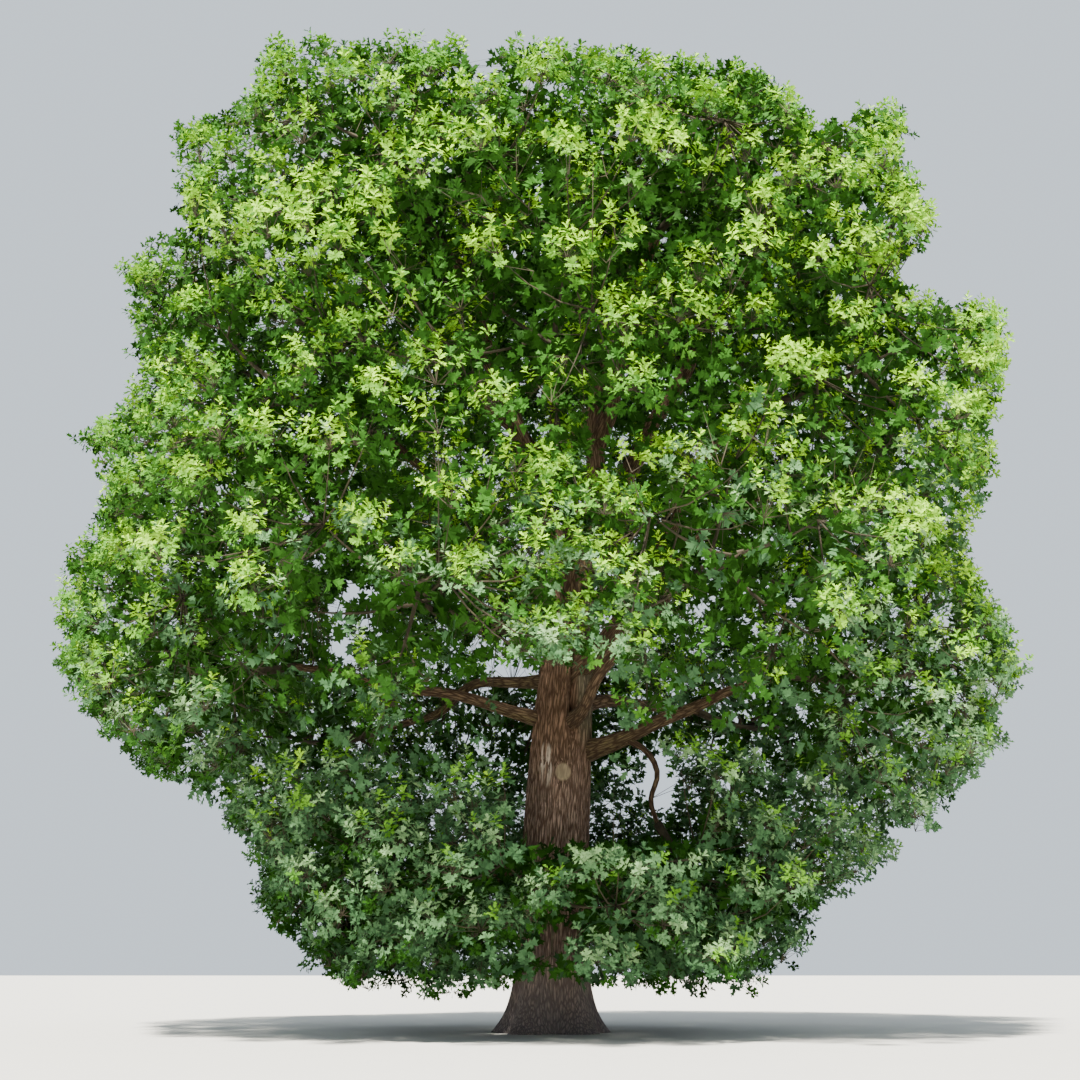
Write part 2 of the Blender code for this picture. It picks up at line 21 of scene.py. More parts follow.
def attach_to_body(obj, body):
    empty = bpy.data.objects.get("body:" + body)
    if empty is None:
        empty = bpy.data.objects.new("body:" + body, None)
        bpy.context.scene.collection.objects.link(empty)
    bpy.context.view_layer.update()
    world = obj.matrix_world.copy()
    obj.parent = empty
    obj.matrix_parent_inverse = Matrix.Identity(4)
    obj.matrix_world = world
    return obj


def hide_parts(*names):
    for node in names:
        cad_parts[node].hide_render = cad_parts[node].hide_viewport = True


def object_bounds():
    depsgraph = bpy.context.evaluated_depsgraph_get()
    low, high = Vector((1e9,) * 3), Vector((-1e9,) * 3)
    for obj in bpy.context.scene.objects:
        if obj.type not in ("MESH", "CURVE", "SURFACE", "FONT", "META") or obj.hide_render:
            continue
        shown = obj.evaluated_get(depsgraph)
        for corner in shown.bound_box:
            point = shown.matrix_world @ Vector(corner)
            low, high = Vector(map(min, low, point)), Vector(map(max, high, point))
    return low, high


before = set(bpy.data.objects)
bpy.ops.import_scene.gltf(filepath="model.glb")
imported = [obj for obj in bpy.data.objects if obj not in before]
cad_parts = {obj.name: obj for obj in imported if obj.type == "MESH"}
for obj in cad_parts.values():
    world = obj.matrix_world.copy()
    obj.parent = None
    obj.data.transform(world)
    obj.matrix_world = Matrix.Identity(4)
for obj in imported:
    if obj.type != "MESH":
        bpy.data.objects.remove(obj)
solids_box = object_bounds()

LOG = logging.getLogger("spreading_oak")
SEED = 41
UP = Vector((0.0, 0.0, 1.0))
TURN = 2.0 * math.pi
GOLDEN_ANGLE = math.pi * (3.0 - math.sqrt(5.0))
UP_ROW = np.array(UP)
SMOOTH_STEP = {"interpolation_type": "SMOOTHSTEP"}
STEEP = 0.9
TINY = 1e-9
FAR = 1e6

Array = np.ndarray
Draws = np.random.Generator
Material = bpy.types.Material
Piece = bpy.types.Object
Socket = bpy.types.NodeSocket
Triple = tuple[float, float, float]
Span = tuple[float, float]
Row = tuple[float, ...]
Line = tuple[Vector, Vector]
Pair = tuple[Array, Array]
Mesh = Pair
Bark = tuple[Array, Array, Array]


# Shader nodes


class Value:
    """A shader number that Python expressions can be written with."""

    def __init__(self, sheet: "NodeSheet", socket: Socket) -> None:
        """Wrap one socket of a sheet's nodes."""
        self.sheet = sheet
        self.socket = socket

    def _with(self, operation: str, first: Any, second: Any) -> "Value":
        """Add one Math node and return its result."""
        node = self.sheet.node("ShaderNodeMath", {"operation": operation}, {0: first, 1: second})
        return Value(self.sheet, node.outputs[0])

    def __add__(self, other: Any) -> "Value":
        """Return self + other."""
        return self._with("ADD", self, other)

    def __radd__(self, other: Any) -> "Value":
        """Return other + self."""
        return self._with("ADD", other, self)

    def __sub__(self, other: Any) -> "Value":
        """Return self - other."""
        return self._with("SUBTRACT", self, other)

    def __rsub__(self, other: Any) -> "Value":
        """Return other - self."""
        return self._with("SUBTRACT", other, self)

    def __mul__(self, other: Any) -> "Value":
        """Return self * other."""
        return self._with("MULTIPLY", self, other)

    def __rmul__(self, other: Any) -> "Value":
        """Return other * self."""
        return self._with("MULTIPLY", other, self)


class NodeSheet:
    """The nodes of one material, with a Principled shader at their end."""

    def __init__(self, name: str) -> None:
        """Make the material.

        Args:
            name: The material's name.
        """
        self.material = bpy.data.materials.new(name)
        self.material.use_nodes = True
        self.tree = self.material.node_tree
        self.shader = self.tree.nodes["Principled BSDF"]

    def node(self, kind: str, settings: dict[str, Any] | None = None,
             inputs: dict[Any, Any] | None = None) -> bpy.types.Node:
        """Add one node.

        Args:
            kind: The node's type.
            settings: Its settings, which are set first.
            inputs: The value or link of each of its sockets, by name or index.

        Returns:
            The node.
        """
        made = self.tree.nodes.new(kind)
        for key, setting in (settings or {}).items():
            setattr(made, key, setting)
        for key, given in (inputs or {}).items():
            self.feed(made.inputs[key], given)
        return made

    def feed(self, socket: Socket, given: Any) -> None:
        """Set a socket to a number or a colour, or link it.

        Args:
            socket: The socket.
            given: A plain value, a Value or another node's socket.
        """
        if isinstance(given, Value):
            self.tree.links.new(given.socket, socket)
        elif isinstance(given, Socket):
            self.tree.links.new(given, socket)
        else:
            socket.default_value = given

    def attribute(self, name: str) -> Socket:
        """Return the vector that a mesh keeps under this name."""
        settings = {"attribute_type": "GEOMETRY", "attribute_name": name}
        return self.node("ShaderNodeAttribute", settings).outputs["Vector"]

    def where(self) -> Socket:
        """Return the point of the surface, in metres."""
        return self.node("ShaderNodeTexCoord").outputs["Object"]

    def place(self) -> tuple[Value, ...]:
        """Return the x, y and z of the point of the surface, in metres."""
        split = self.node("ShaderNodeSeparateXYZ", None, {0: self.where()})
        return tuple(Value(self, out) for out in split.outputs)

    def noise(self, vector: Socket, scale: float, detail: float = 3.0,
              roughness: float = 0.55) -> Value:
        """Return a noise from 0 to 1, by its lumps for each metre, its octaves and their share."""
        inputs = {"Vector": vector, "Scale": scale, "Detail": detail, "Roughness": roughness}
        return Value(self, self.node("ShaderNodeTexNoise", None, inputs).outputs[0])

    def shifted(self, vector: Socket, by: Value, reach: float) -> Socket:
        """Push a vector sideways by a noise, to make a pattern wander.

        Args:
            vector: The vector.
            by: The noise.
            reach: How far it pushes, in the vector's own units.

        Returns:
            The pushed vector.
        """
        push = (by - 0.5) * reach
        both = self.node("ShaderNodeCombineXYZ", None, {0: push, 1: push, 2: 0.0}).outputs[0]
        inputs = {0: vector, 1: both}
        return self.node("ShaderNodeVectorMath", {"operation": "ADD"}, inputs).outputs[0]

    def between(self, value: Value, low: float, high: float) -> Value:
        """Return a smooth step of the value, 0 at low and 1 at high."""
        inputs = {"Value": value, "From Min": low, "From Max": high}
        return Value(self, self.node("ShaderNodeMapRange", SMOOTH_STEP, inputs).outputs[0])

    def mixed(self, share: Any, first: Any, second: Any) -> Socket:
        """Mix two colours, or links to them, by the share of the second."""
        inputs = {0: share, 6: opaque(first), 7: opaque(second)}
        return self.node("ShaderNodeMix", {"data_type": "RGBA"}, inputs).outputs[2]

    def finish(self, colour: Any, height: Value, surface: "Surface") -> Material:
        """Feed the shader.

        Args:
            colour: The base colour.
            height: The relief, from 0 to 1.
            surface: How rough, deep and shiny it is.

        Returns:
            The material.
        """
        relief = {"Strength": 1.0, "Distance": surface.depth, "Height": height}
        bump = self.node("ShaderNodeBump", None, relief)
        self.feed(self.shader.inputs["Base Color"], opaque(colour))
        self.feed(self.shader.inputs["Roughness"], surface.rough - surface.smoother * height)
        self.feed(self.shader.inputs["Normal"], bump.outputs[0])
        self.feed(self.shader.inputs["Specular IOR Level"], surface.shine)
        return self.material


@dataclass(frozen=True)
class Surface:
    """How rough a finish is, how much smoother where it stands out, its relief and its shine."""

    rough: float
    smoother: float
    depth: float
    shine: float


def opaque(colour: Any) -> Any:
    """Give a colour of three numbers its fourth, and leave a link as it is."""
    return (*colour, 1.0) if isinstance(colour, tuple) else colour


# Finishes


@dataclass(frozen=True)
class BarkFinish:
    """Fissured bark: ridges between dark furrows that run along the limb."""

    name: str
    ridge: Triple
    furrow: Triple
    tint: Triple
    tint_share: float
    plates: float
    surface: Surface
    grain: str = "grain"
    wander_scale: float = 5.0
    wander: float = 0.10
    furrow_edge: Span = (0.02, 0.26)
    furrow_floor: float = 0.12
    fine_scale: float = 34.0
    fine_edge: Span = (0.36, 0.58)
    fine_share: float = 0.50
    patch_scale: float = 1.7
    patch_edge: Span = (0.44, 0.66)
    # The ridges are darker where their relief breaks down lower.
    sunken_edge: Span = (0.30, 0.75)
    sunken: float = 0.62

    def start(self) -> tuple[NodeSheet, Value, Socket]:
        """Lay the ridges and furrows.

        Returns:
            The sheet, how far a point stands out of the furrows, and the colour so far.
        """
        sheet = NodeSheet(self.name)
        along = sheet.attribute(self.grain)
        pushed = sheet.shifted(along, sheet.noise(along, self.wander_scale), self.wander)
        inputs = {"Vector": pushed, "Scale": self.plates}
        cells = sheet.node("ShaderNodeTexVoronoi", {"feature": "DISTANCE_TO_EDGE"}, inputs)
        ridge = sheet.between(Value(sheet, cells.outputs[0]), *self.furrow_edge)
        ridge = self.furrow_floor + (1.0 - self.furrow_floor) * ridge
        fine = sheet.noise(pushed, self.fine_scale, 4.0, 0.65)
        broken = sheet.between(fine, *self.fine_edge)
        stands = ridge * (self.fine_share + (1.0 - self.fine_share) * broken)
        patches = sheet.between(sheet.noise(along, self.patch_scale), *self.patch_edge)
        plain = sheet.mixed(patches * self.tint_share, self.ridge, self.tint)
        # Darker ridges where their relief breaks down lower.
        edge = sheet.between(fine, *self.sunken_edge)
        sunken = sheet.mixed(edge, darker(self.ridge, self.sunken), plain)
        return sheet, stands, sheet.mixed(stands, self.furrow, sunken)

    def dress(self) -> Material:
        """Return the finished material."""
        sheet, stands, colour = self.start()
        return sheet.finish(colour, stands, self.surface)


@dataclass(frozen=True)
class Coat:
    """A colour that lies over the bark: its share there, and how dark it is in the furrows."""

    tone: Triple
    share: float
    furrow: float

    def over(self, sheet: NodeSheet, mask: Value, stands: Value, below: Any) -> Socket:
        """Return the colour below with this one laid over it where the mask shows."""
        laid = sheet.mixed(stands, darker(self.tone, self.furrow), self.tone)
        return sheet.mixed(mask * self.share, below, laid)


@dataclass(frozen=True)
class Oval:
    """An upright oval mark on the trunk's front: its middle, half sizes and the whole share."""

    at: Triple
    width: float
    height: float
    whole: float
    front: Span = (0.2, 0.6)

    def mask(self, sheet: NodeSheet) -> Value:
        """Mark it on a material.

        Args:
            sheet: The material's nodes.

        Returns:
            1 inside it and 0 outside.
        """
        x, y, z = sheet.place()
        across = (x - self.at[0]) * (1.0 / self.width)
        along = (z - self.at[2]) * (1.0 / self.height)
        front = sheet.between(0.0 - y, *(-self.at[1] * share for share in self.front))
        return front * (1.0 - sheet.between(across * across + along * along, self.whole, 1.0))


@dataclass(frozen=True)
class TrunkFinish(BarkFinish):
    """The trunk's bark: grey at its foot, redder above, with a grey stem, a scar and a tear."""

    foot: Coat = Coat((0.245, 0.210, 0.208), 0.85, 0.45)
    red: Coat = Coat((0.270, 0.150, 0.078), 0.75, 0.16)
    lichen: Coat = Coat((0.185, 0.165, 0.105), 0.8, 0.35)
    broad_scale: float = 2.3
    foot_heights: Span = (0.9, 4.6)
    foot_play: float = 2.0
    red_heights: Span = (6.4, 8.6)
    lichen_heights: Span = (7.2, 8.4)
    lichen_edge: Span = (0.74, 0.92)
    lichen_play: float = 0.2
    tear: Oval = Oval((-0.16, -0.62, 7.08), 0.22, 0.70, 0.25)
    torn: Triple = (0.780, 0.640, 0.520)
    streak_scale: float = 15.0
    streak_edge: Span = (0.47, 0.56)
    scar: Oval = Oval((0.31, -0.69, 6.85), 0.24, 0.276, 0.45)
    scarred: Triple = (0.420, 0.330, 0.210)
    scar_share: float = 0.92
    scar_height: float = 0.5
    mottle_scale: float = 26.0
    mottle_edge: Span = (0.35, 0.65)
    mottle: float = 0.55

    def dress(self) -> Material:
        """Return the finished material."""
        sheet, stands, colour = self.start()
        x, _, z = sheet.place()
        along = sheet.attribute(self.grain)
        broad = sheet.noise(along, self.broad_scale, 2.0)
        foot = 1.0 - sheet.between(z + broad * self.foot_play, *self.foot_heights)
        red = sheet.between(z + broad, *self.red_heights)
        grey = sheet.between(x + broad * self.lichen_play, *self.lichen_edge)
        grey = sheet.between(z, *self.lichen_heights) * grey
        for coat, mask in ((self.foot, foot), (self.red, red), (self.lichen, grey)):
            colour = coat.over(sheet, mask, stands, colour)
        streaks = sheet.between(sheet.noise(along, self.streak_scale), *self.streak_edge)
        colour = sheet.mixed(self.tear.mask(sheet) * streaks, colour, self.torn)
        scar = self.scar.mask(sheet)
        fine = sheet.between(sheet.noise(along, self.mottle_scale), *self.mottle_edge)
        mottled = sheet.mixed(fine, darker(self.scarred, self.mottle), self.scarred)
        colour = sheet.mixed(scar * self.scar_share, colour, mottled)
        stands = (1.0 - scar) * stands + self.scar_height * scar
        return sheet.finish(colour, stands, self.surface)


@dataclass(frozen=True)
class TwigFinish:
    """Thin bark: brown with paler lenticels and a soft grain."""

    name: str
    bark: Triple
    pale: Triple
    blotch_scale: float = 1.6
    blotch_edge: Span = (0.35, 0.65)
    grain_scale: float = 46.0
    grain_edge: Span = (0.45, 0.75)
    grain_share: float = 0.6
    grain_tone: float = 0.4
    surface: Surface = Surface(0.92, 0.12, 0.004, 0.3)

    def dress(self) -> Material:
        """Return the finished material."""
        sheet = NodeSheet(self.name)
        where = sheet.where()
        blotches = sheet.between(sheet.noise(where, self.blotch_scale), *self.blotch_edge)
        grain = sheet.noise(where, self.grain_scale)
        lines = sheet.between(grain, *self.grain_edge) * self.grain_share
        colour = sheet.mixed(blotches, self.bark, self.pale)
        colour = sheet.mixed(lines, colour, darker(self.bark, self.grain_tone))
        return sheet.finish(colour, grain, self.surface)


class Tone(Enum):
    """The greens of the foliage, from the painted shade of the inside to the painted sunlight on
    the sprays.
    """

    # Painted light and shade: lit and shaded copies of one leaf green, and of a bluer green that
    # also paints the sky's reflection.
    DEEP = (0.015, 0.058, 0.004)
    SHADE = (0.029, 0.100, 0.011)
    BLUE_SHADE = (0.044, 0.106, 0.041)
    BLUE = (0.094, 0.196, 0.080)
    BLUE_LIGHT = (0.188, 0.318, 0.136)
    LEAF = (0.073, 0.208, 0.021)
    FRESH = (0.128, 0.302, 0.026)
    LIME = (0.208, 0.422, 0.022)
    SUNLIT = (0.318, 0.585, 0.030)


@dataclass(frozen=True)
class LeafFinish:
    """One green of the leaves, a plain colour that carries painted light and shade, with a waxy,
    uneven skin.
    """

    tone: Tone
    skin_scale: float = 21.0
    surface: Surface = Surface(0.56, -0.16, 0.010, 0.07)

    def dress(self) -> Material:
        """Return the finished material."""
        sheet = NodeSheet(f"leaf_{self.tone.name.lower()}")
        skin = sheet.noise(sheet.where(), self.skin_scale, 2.0)
        return sheet.finish(self.tone.value, skin, self.surface)


@dataclass(frozen=True)
class FloorFinish:
    """A plain pale floor, very slightly uneven."""

    pale: Triple = (0.55, 0.54, 0.51)
    uneven_scale: float = 0.6
    uneven_share: float = 0.35
    uneven_tone: float = 0.86
    surface: Surface = Surface(0.92, 0.06, 0.01, 0.2)

    def dress(self) -> Material:
        """Return the finished material."""
        sheet = NodeSheet("floor")
        uneven = sheet.noise(sheet.where(), self.uneven_scale, 4.0)
        darkened = darker(self.pale, self.uneven_tone)
        colour = sheet.mixed(uneven * self.uneven_share, self.pale, darkened)
        return sheet.finish(colour, uneven, self.surface)


def darker(colour: Triple, share: float) -> Triple:
    """Return a colour at that share of its brightness."""
    return tuple(part * share for part in colour)


# The source's rule: trunk, masses, limbs


def ease(value: Any) -> Any:
    """Smooth step from 0 to 1, of a number or an array."""
    t = np.clip(value, 0.0, 1.0)
    return t * t * (3.0 - 2.0 * t)


def on_circle(azimuth: float) -> Vector:
    """Return the level direction at that azimuth, in radians from +X."""
    return Vector((math.cos(azimuth), math.sin(azimuth), 0.0))


@dataclass
class Limb:
    """A tapering limb along a line of points."""

    name: str
    points: list[Vector]
    radii: list[float]

    def at_height(self, z: float) -> Vector:
        """Find where a rising limb is.

        Args:
            z: The height.

        Returns:
            The limb's point at that height, or else its tip.
        """
        for low, high in self.pairs():
            if low.z <= z <= high.z:
                return low.lerp(high, (z - low.z) / (high.z - low.z))
        return self.points[-1].copy()

    def pairs(self) -> list[Line]:
        """Return the ends of each of its stretches."""
        return list(zip(self.points, self.points[1:]))

    def end(self) -> Vector:
        """Return the direction in which it ends."""
        return (self.points[-1] - self.points[-2]).normalized()

    def smooth(self, step: float) -> Pair:
        """Return the points of a smooth curve through it, that far apart, and the radii there."""
        return smooth_path(np.array(self.points), np.array(self.radii), step)

    def touched_by(self, a: Vector, b: Vector, clearance: float) -> bool:
        """Tell whether a line comes nearer than a clearance.

        Args:
            a: The line's start.
            b: The line's end.
            clearance: The least gap between the line and the limb's skin.

        Returns:
            True if it does.
        """
        for pair, low, high in zip(self.pairs(), self.radii, self.radii[1:]):
            gap, where = segment_gap(a, b, *pair)
            thick = low + (high - low) * where
            if gap < thick + clearance:
                return True
        return False


def segment_gap(a: Vector, b: Vector, c: Vector, d: Vector, samples: int = 8) -> Span:
    """Measure between the segments a-b and c-d.

    Args:
        a: The first segment's start.
        b: Its end.
        c: The second segment's start.
        d: Its end.
        samples: How finely the first is read.

    Returns:
        The least distance, and how far along the second it lies.
    """
    best, where = 1e9, 0.0
    ab, cd = b - a, d - c
    square = max(cd.length_squared, TINY)
    for i in range(samples + 1):
        point = a + ab * (i / samples)
        s = min(1.0, max(0.0, (point - c).dot(cd) / square))
        gap = (point - c - cd * s).length
        if gap < best:
            best, where = gap, s
    return best, where


@dataclass(frozen=True)
class Trunk:
    """The trunk from its flat cut to its fork."""

    top: float = 12.8
    crotch: float = 12.0
    crotch_rounding: float = 0.75
    bole_radius: float = 0.93
    fork_radius: float = 0.50
    bole_taper: float = 3.0
    flare_reach: float = 0.56
    flare_height: float = 0.72
    buttresses: int = 5
    buttress_depth: float = 0.15
    buttress_height: float = 1.5
    buttress_turn: float = math.radians(20)
    lean: float = 0.50
    lean_height: float = 10.5
    groove_azimuth: float = math.radians(292)
    groove_width: float = math.radians(17)
    groove_depth: float = 0.20
    groove_start: float = 7.6
    groove_full: float = 9.4
    tested_rings: int = 14

    def axis(self, z: float) -> Vector:
        """Return the middle of the trunk at height z: it leans slowly towards +X."""
        return Vector((self.lean * (z / self.lean_height) ** 2, 0.0, z))

    def radius(self, z: Any, azimuth: Any) -> Any:
        """Measure the trunk.

        Args:
            z: The height, a number or an array.
            azimuth: The azimuth in radians, likewise.

        Returns:
            Its radius there.
        """
        tapered = 1 - (z / self.top) ** self.bole_taper
        bole = self.fork_radius + (self.bole_radius - self.fork_radius) * tapered
        rounding = np.maximum(0.0, (z - self.crotch) / (self.top - self.crotch))
        bole = bole * np.sqrt(1 - self.crotch_rounding * rounding**2)
        flare = self.flare_reach * np.exp(-z / self.flare_height)
        lobes = self.buttress_depth * np.exp(-z / self.buttress_height)
        buttress = 1 + lobes * np.cos(self.buttresses * (azimuth - self.buttress_turn))
        off = (azimuth - self.groove_azimuth + math.pi) % TURN - math.pi
        deep = ease((z - self.groove_start) / (self.groove_full - self.groove_start))
        groove = 1 - self.groove_depth * deep * np.exp(-((off / self.groove_width) ** 2))
        return (bole + flare) * buttress * groove

    def limb(self) -> Limb:
        """Return the trunk as a limb, for the tests of what would touch it."""
        heights = [self.top * i / self.tested_rings for i in range(self.tested_rings + 1)]
        lobe = 1 + self.buttress_depth
        radii = [float(self.radius(z, 0.0)) * lobe for z in heights]
        return Limb("trunk", [self.axis(z) for z in heights], radii)


@dataclass(frozen=True)
class Tier:
    """A tier of boughs, each with its own mass of foliage. The sizes are those of the solids."""

    name: str
    count: int
    first_azimuth: float
    attach: float
    stagger: float
    heart: float
    tilt: float
    lift: float
    reach_left: float
    reach_right: float
    reach_depth: float
    semi: Triple
    root_radius: float
    rise: float
    facing: float

    def labels(self) -> list[str]:
        """Return the label of each of its masses."""
        return [f"{self.name}_{n + 1}" for n in range(self.count)]

    def reach(self, azimuth: float) -> float:
        """Return how far its foliage reaches from the trunk's axis at that azimuth."""
        side = self.reach_right if math.cos(azimuth) > 0 else self.reach_left
        return math.hypot(math.cos(azimuth) * side, math.sin(azimuth) * self.reach_depth)


TIERS = (
    Tier("top", 3, 90, 11.7, 0.0, 22.9, -0.2, 0.1, 9.4, 7.8, 7.8, (4.8, 5.2, 3.4),
         root_radius=0.31, rise=72, facing=3.0),
    Tier("upper", 6, 0, 14.6, 1.7, 21.8, 0.8, 0.4, 13.7, 12.8, 12.0, (4.5, 5.8, 4.2),
         root_radius=0.20, rise=48, facing=0.5),
    Tier("middle", 7, 16, 9.6, 1.2, 15.7, 1.0, 0.7, 14.3, 14.5, 13.2, (4.6, 5.8, 4.2),
         root_radius=0.25, rise=34, facing=0.2),
    Tier("lower", 7, -10, 7.6, 1.5, 9.2, 0.2, 1.5, 14.8, 14.4, 13.2, (4.8, 6.0, 4.3),
         root_radius=0.25, rise=14, facing=0.0),
    Tier("skirt", 6, 268, 3.7, 0.5, 3.7, 0.0, -0.5, 9.4, 8.2, 8.4, (3.6, 4.2, 2.8),
         root_radius=0.17, rise=26, facing=-0.1),
)


def bough_name(label: str) -> str:
    """Return the name of the bough that carries a mass."""
    return f"bough_{label}"


@dataclass(frozen=True)
class Opening:
    """The opening in the front of the crown, through which the trunk and first boughs show."""

    left: float = -1.15
    right: float = 1.35
    wide_right: float = 3.9
    floor: Span = (4.9, 0.069)
    shoulder: Span = (7.2, 0.121)
    roof: Span = (9.9, 0.18)

    def holds(self, points: Array) -> Array:
        """Tell which points lie in the opening.

        Args:
            points: The points.

        Returns:
            A truth value for each.
        """
        x, y, z = points.T
        low, wide, narrow = (at + slope * y for at, slope in (self.floor, self.shoulder, self.roof))
        high = np.where(x < self.right, narrow, wide)
        return (y <= 0) & (x > self.left) & (x < self.wide_right) & (z > low) & (z < high)


@dataclass
class Mass:
    """One mass of foliage and its own space."""

    name: str
    tier: Tier
    heart: Vector
    outward: Vector
    sideways: Vector
    facing: Vector
    walls: list[Line] = field(default_factory=list)
    margin: float = 0.05
    ground: float = 0.85
    opening: Opening = Opening()

    def toward(self, direction: Vector, share: float) -> Vector:
        """Go from the heart towards the edge of the space.

        Args:
            direction: The way to go.
            share: The share of the way.

        Returns:
            The point there.
        """
        radial, tangential, vertical = self.tier.semi
        point = self.heart + self.outward * direction.dot(self.outward) * radial * share
        point += self.sideways * direction.dot(self.sideways) * tangential * share
        return point + UP * direction.z * vertical * share

    def share(self, points: Array) -> Array:
        """Measure how far out points lie.

        Args:
            points: The points.

        Returns:
            The share of the way from the heart to the edge of the space, for each.
        """
        off = points - np.array(self.heart)
        ways = [off @ np.array(self.outward), off @ np.array(self.sideways), off[:, 2]]
        return norm(np.stack(ways, axis=1) / np.array(self.tier.semi), axis=1)

    def holds(self, points: Array, most: float, wall: float) -> Array:
        """Tell which points lie in the mass's own space.

        Args:
            points: The points.
            most: The share of the way to the edge that is allowed.
            wall: The least distance to the planes half-way to the other masses.

        Returns:
            A truth value for each.
        """
        inside = (self.share(points) <= most) & (points[:, 2] >= self.ground)
        inside &= ~self.opening.holds(points)
        for middle, away in self.walls:
            inside &= (points - np.array(middle)) @ np.array(away) < -wall
        return inside


@dataclass
class Crown:
    """The plan of the whole tree: where each mass and each limb lies."""

    trunk: Trunk
    uneven_height: float = 0.45
    uneven_reach: float = 0.40
    uneven_azimuth: float = math.radians(4)
    root_tilt: float = 0.5
    root_lift: float = 0.5
    stouter_to_right: float = 0.5
    stouter_power: int = 4
    leader_tier: str = "top"
    tier_on_leaders: str = "upper"
    hanging_bough: str = "skirt_2"
    carries_hanging_bough: str = "lower_1"
    hanging_root_share: float = 0.24
    hanging_facing: float = -1.6
    hanging_fall: float = 0.25
    step_length: float = 1.8
    least_steps: int = 4
    most_steps: int = 7
    tip_radius: float = 0.130
    taper: float = 0.8
    wander: float = 0.040
    wander_upward: float = 0.7
    leaving_handle: float = 0.42
    arriving_handle: float = 0.34
    entry_share: float = 0.64
    masses: list[Mass] = field(default_factory=list)
    limbs: dict[str, Limb] = field(default_factory=dict)

    def __post_init__(self) -> None:
        """Place the masses, then lay out the limbs."""
        self.place_masses()
        self.lay_out_limbs()

    def place_masses(self) -> None:
        """Place every mass, tier by tier, evenly round the trunk."""
        rng = random.Random(SEED)
        for tier in TIERS:
            for n, name in enumerate(tier.labels()):
                azimuth = math.radians(tier.first_azimuth + 360 * n / tier.count)
                azimuth += rng.uniform(-self.uneven_azimuth, self.uneven_azimuth)
                outward = on_circle(azimuth)
                sideways = Vector((-outward.y, outward.x, 0.0))
                height = tier.heart + tier.tilt * outward.x + tier.lift * max(0.0, -outward.y)
                height += rng.uniform(-self.uneven_height, self.uneven_height)
                out = tier.reach(azimuth) - tier.semi[0]
                out += rng.uniform(-self.uneven_reach, self.uneven_reach)
                rise = self.hanging_facing if name == self.hanging_bough else tier.facing
                facing = (outward + UP * rise).normalized()
                heart = outward * out + UP * height
                self.masses.append(Mass(name, tier, heart, outward, sideways, facing))
        for mass in self.masses:
            for other in self.masses:
                if other is not mass:
                    away = (other.heart - mass.heart).normalized()
                    mass.walls.append(((mass.heart + other.heart) / 2, away))

    def lay_out_limbs(self) -> None:
        """Lay out the trunk and every bough, by name."""
        self.limbs["trunk"] = self.trunk.limb()
        rng = random.Random(SEED)
        leaders = [m for m in self.masses if m.tier.name == self.leader_tier]
        for mass in self.masses:
            tier = mass.tier
            number = int(mass.name.rsplit("_", 1)[1])
            root = tier.attach + tier.stagger * ((number + 1) % 2)
            if tier.name != self.leader_tier:
                lifted = self.root_lift * tier.lift * max(0.0, -mass.outward.y)
                root += lifted - self.root_tilt * mass.outward.x
            stouter = self.stouter_to_right * max(0.0, mass.outward.x) ** self.stouter_power
            thick = tier.root_radius * (1 + stouter)
            rise = math.radians(tier.rise)
            leave = mass.outward * math.cos(rise) + UP * math.sin(rise)
            if tier.name == self.tier_on_leaders:
                leader = min(leaders, key=lambda m: (m.outward - mass.outward).length)
                start = self.limbs[bough_name(leader.name)].at_height(root)
            elif mass.name == self.hanging_bough:
                carrier = self.limbs[bough_name(self.carries_hanging_bough)]
                start = carrier.points[0].lerp(carrier.points[-1], self.hanging_root_share)
                start = min(carrier.points[1:], key=lambda p: (p - start).length).copy()
                leave = (mass.outward - UP * self.hanging_fall).normalized()
            else:
                start = self.trunk.axis(root)
            self.limbs[bough_name(mass.name)] = self.bough(mass, start, leave, thick, rng)

    def bough(self, mass: Mass, start: Vector, leave: Vector, thick: float,
              rng: random.Random) -> Limb:
        """Lay out one bough, wandering a little on its way.

        Args:
            mass: The mass it enters.
            start: Where it starts.
            leave: The direction in which it leaves.
            thick: Its radius at the start.
            rng: The limbs' shared random numbers.

        Returns:
            The bough.
        """
        entry = mass.toward(-mass.facing, self.entry_share)
        span = (entry - start).length
        arrive = ((mass.heart - entry).normalized() + (entry - start).normalized()).normalized()
        first = start + leave.normalized() * span * self.leaving_handle
        last = entry - arrive * span * self.arriving_handle
        steps = min(self.most_steps, max(self.least_steps, round(span / self.step_length)))
        side = (entry - start).cross(UP).normalized()
        points, radii = [], []
        for i in range(steps + 1):
            t = i / steps
            s = 1 - t
            ends = start * s**3 + first * 3 * s * s * t
            points.append(ends + last * 3 * s * t * t + entry * t**3)
        for i in range(steps + 1):
            t = i / steps
            swing = self.wander * mass.outward.dot(leave) * span * math.sin(math.pi * t)
            if 1 < i < steps - 1:
                points[i] += side * rng.uniform(-swing, swing)
                points[i] += UP * rng.uniform(-swing, swing) * self.wander_upward
            radii.append(thick + (self.tip_radius - thick) * t**self.taper)
        return Limb(bough_name(mass.name), points, radii)


@dataclass
class Leaf:
    """A leaf of the solids, which stands for a branchlet here."""

    root: Vector
    along: Vector
    normal: Vector
    length: float

    def middle(self, share: float = 0.55) -> Vector:
        """Return the middle of its blade."""
        return self.root + self.along * self.length * share


@dataclass
class Growth:
    """What the source's rule grows in one mass: the stem, twigs, and leaves as branchlets."""

    mass: Mass
    stem: Line
    twigs: list[Line] = field(default_factory=list)
    leaves: list[Leaf] = field(default_factory=list)


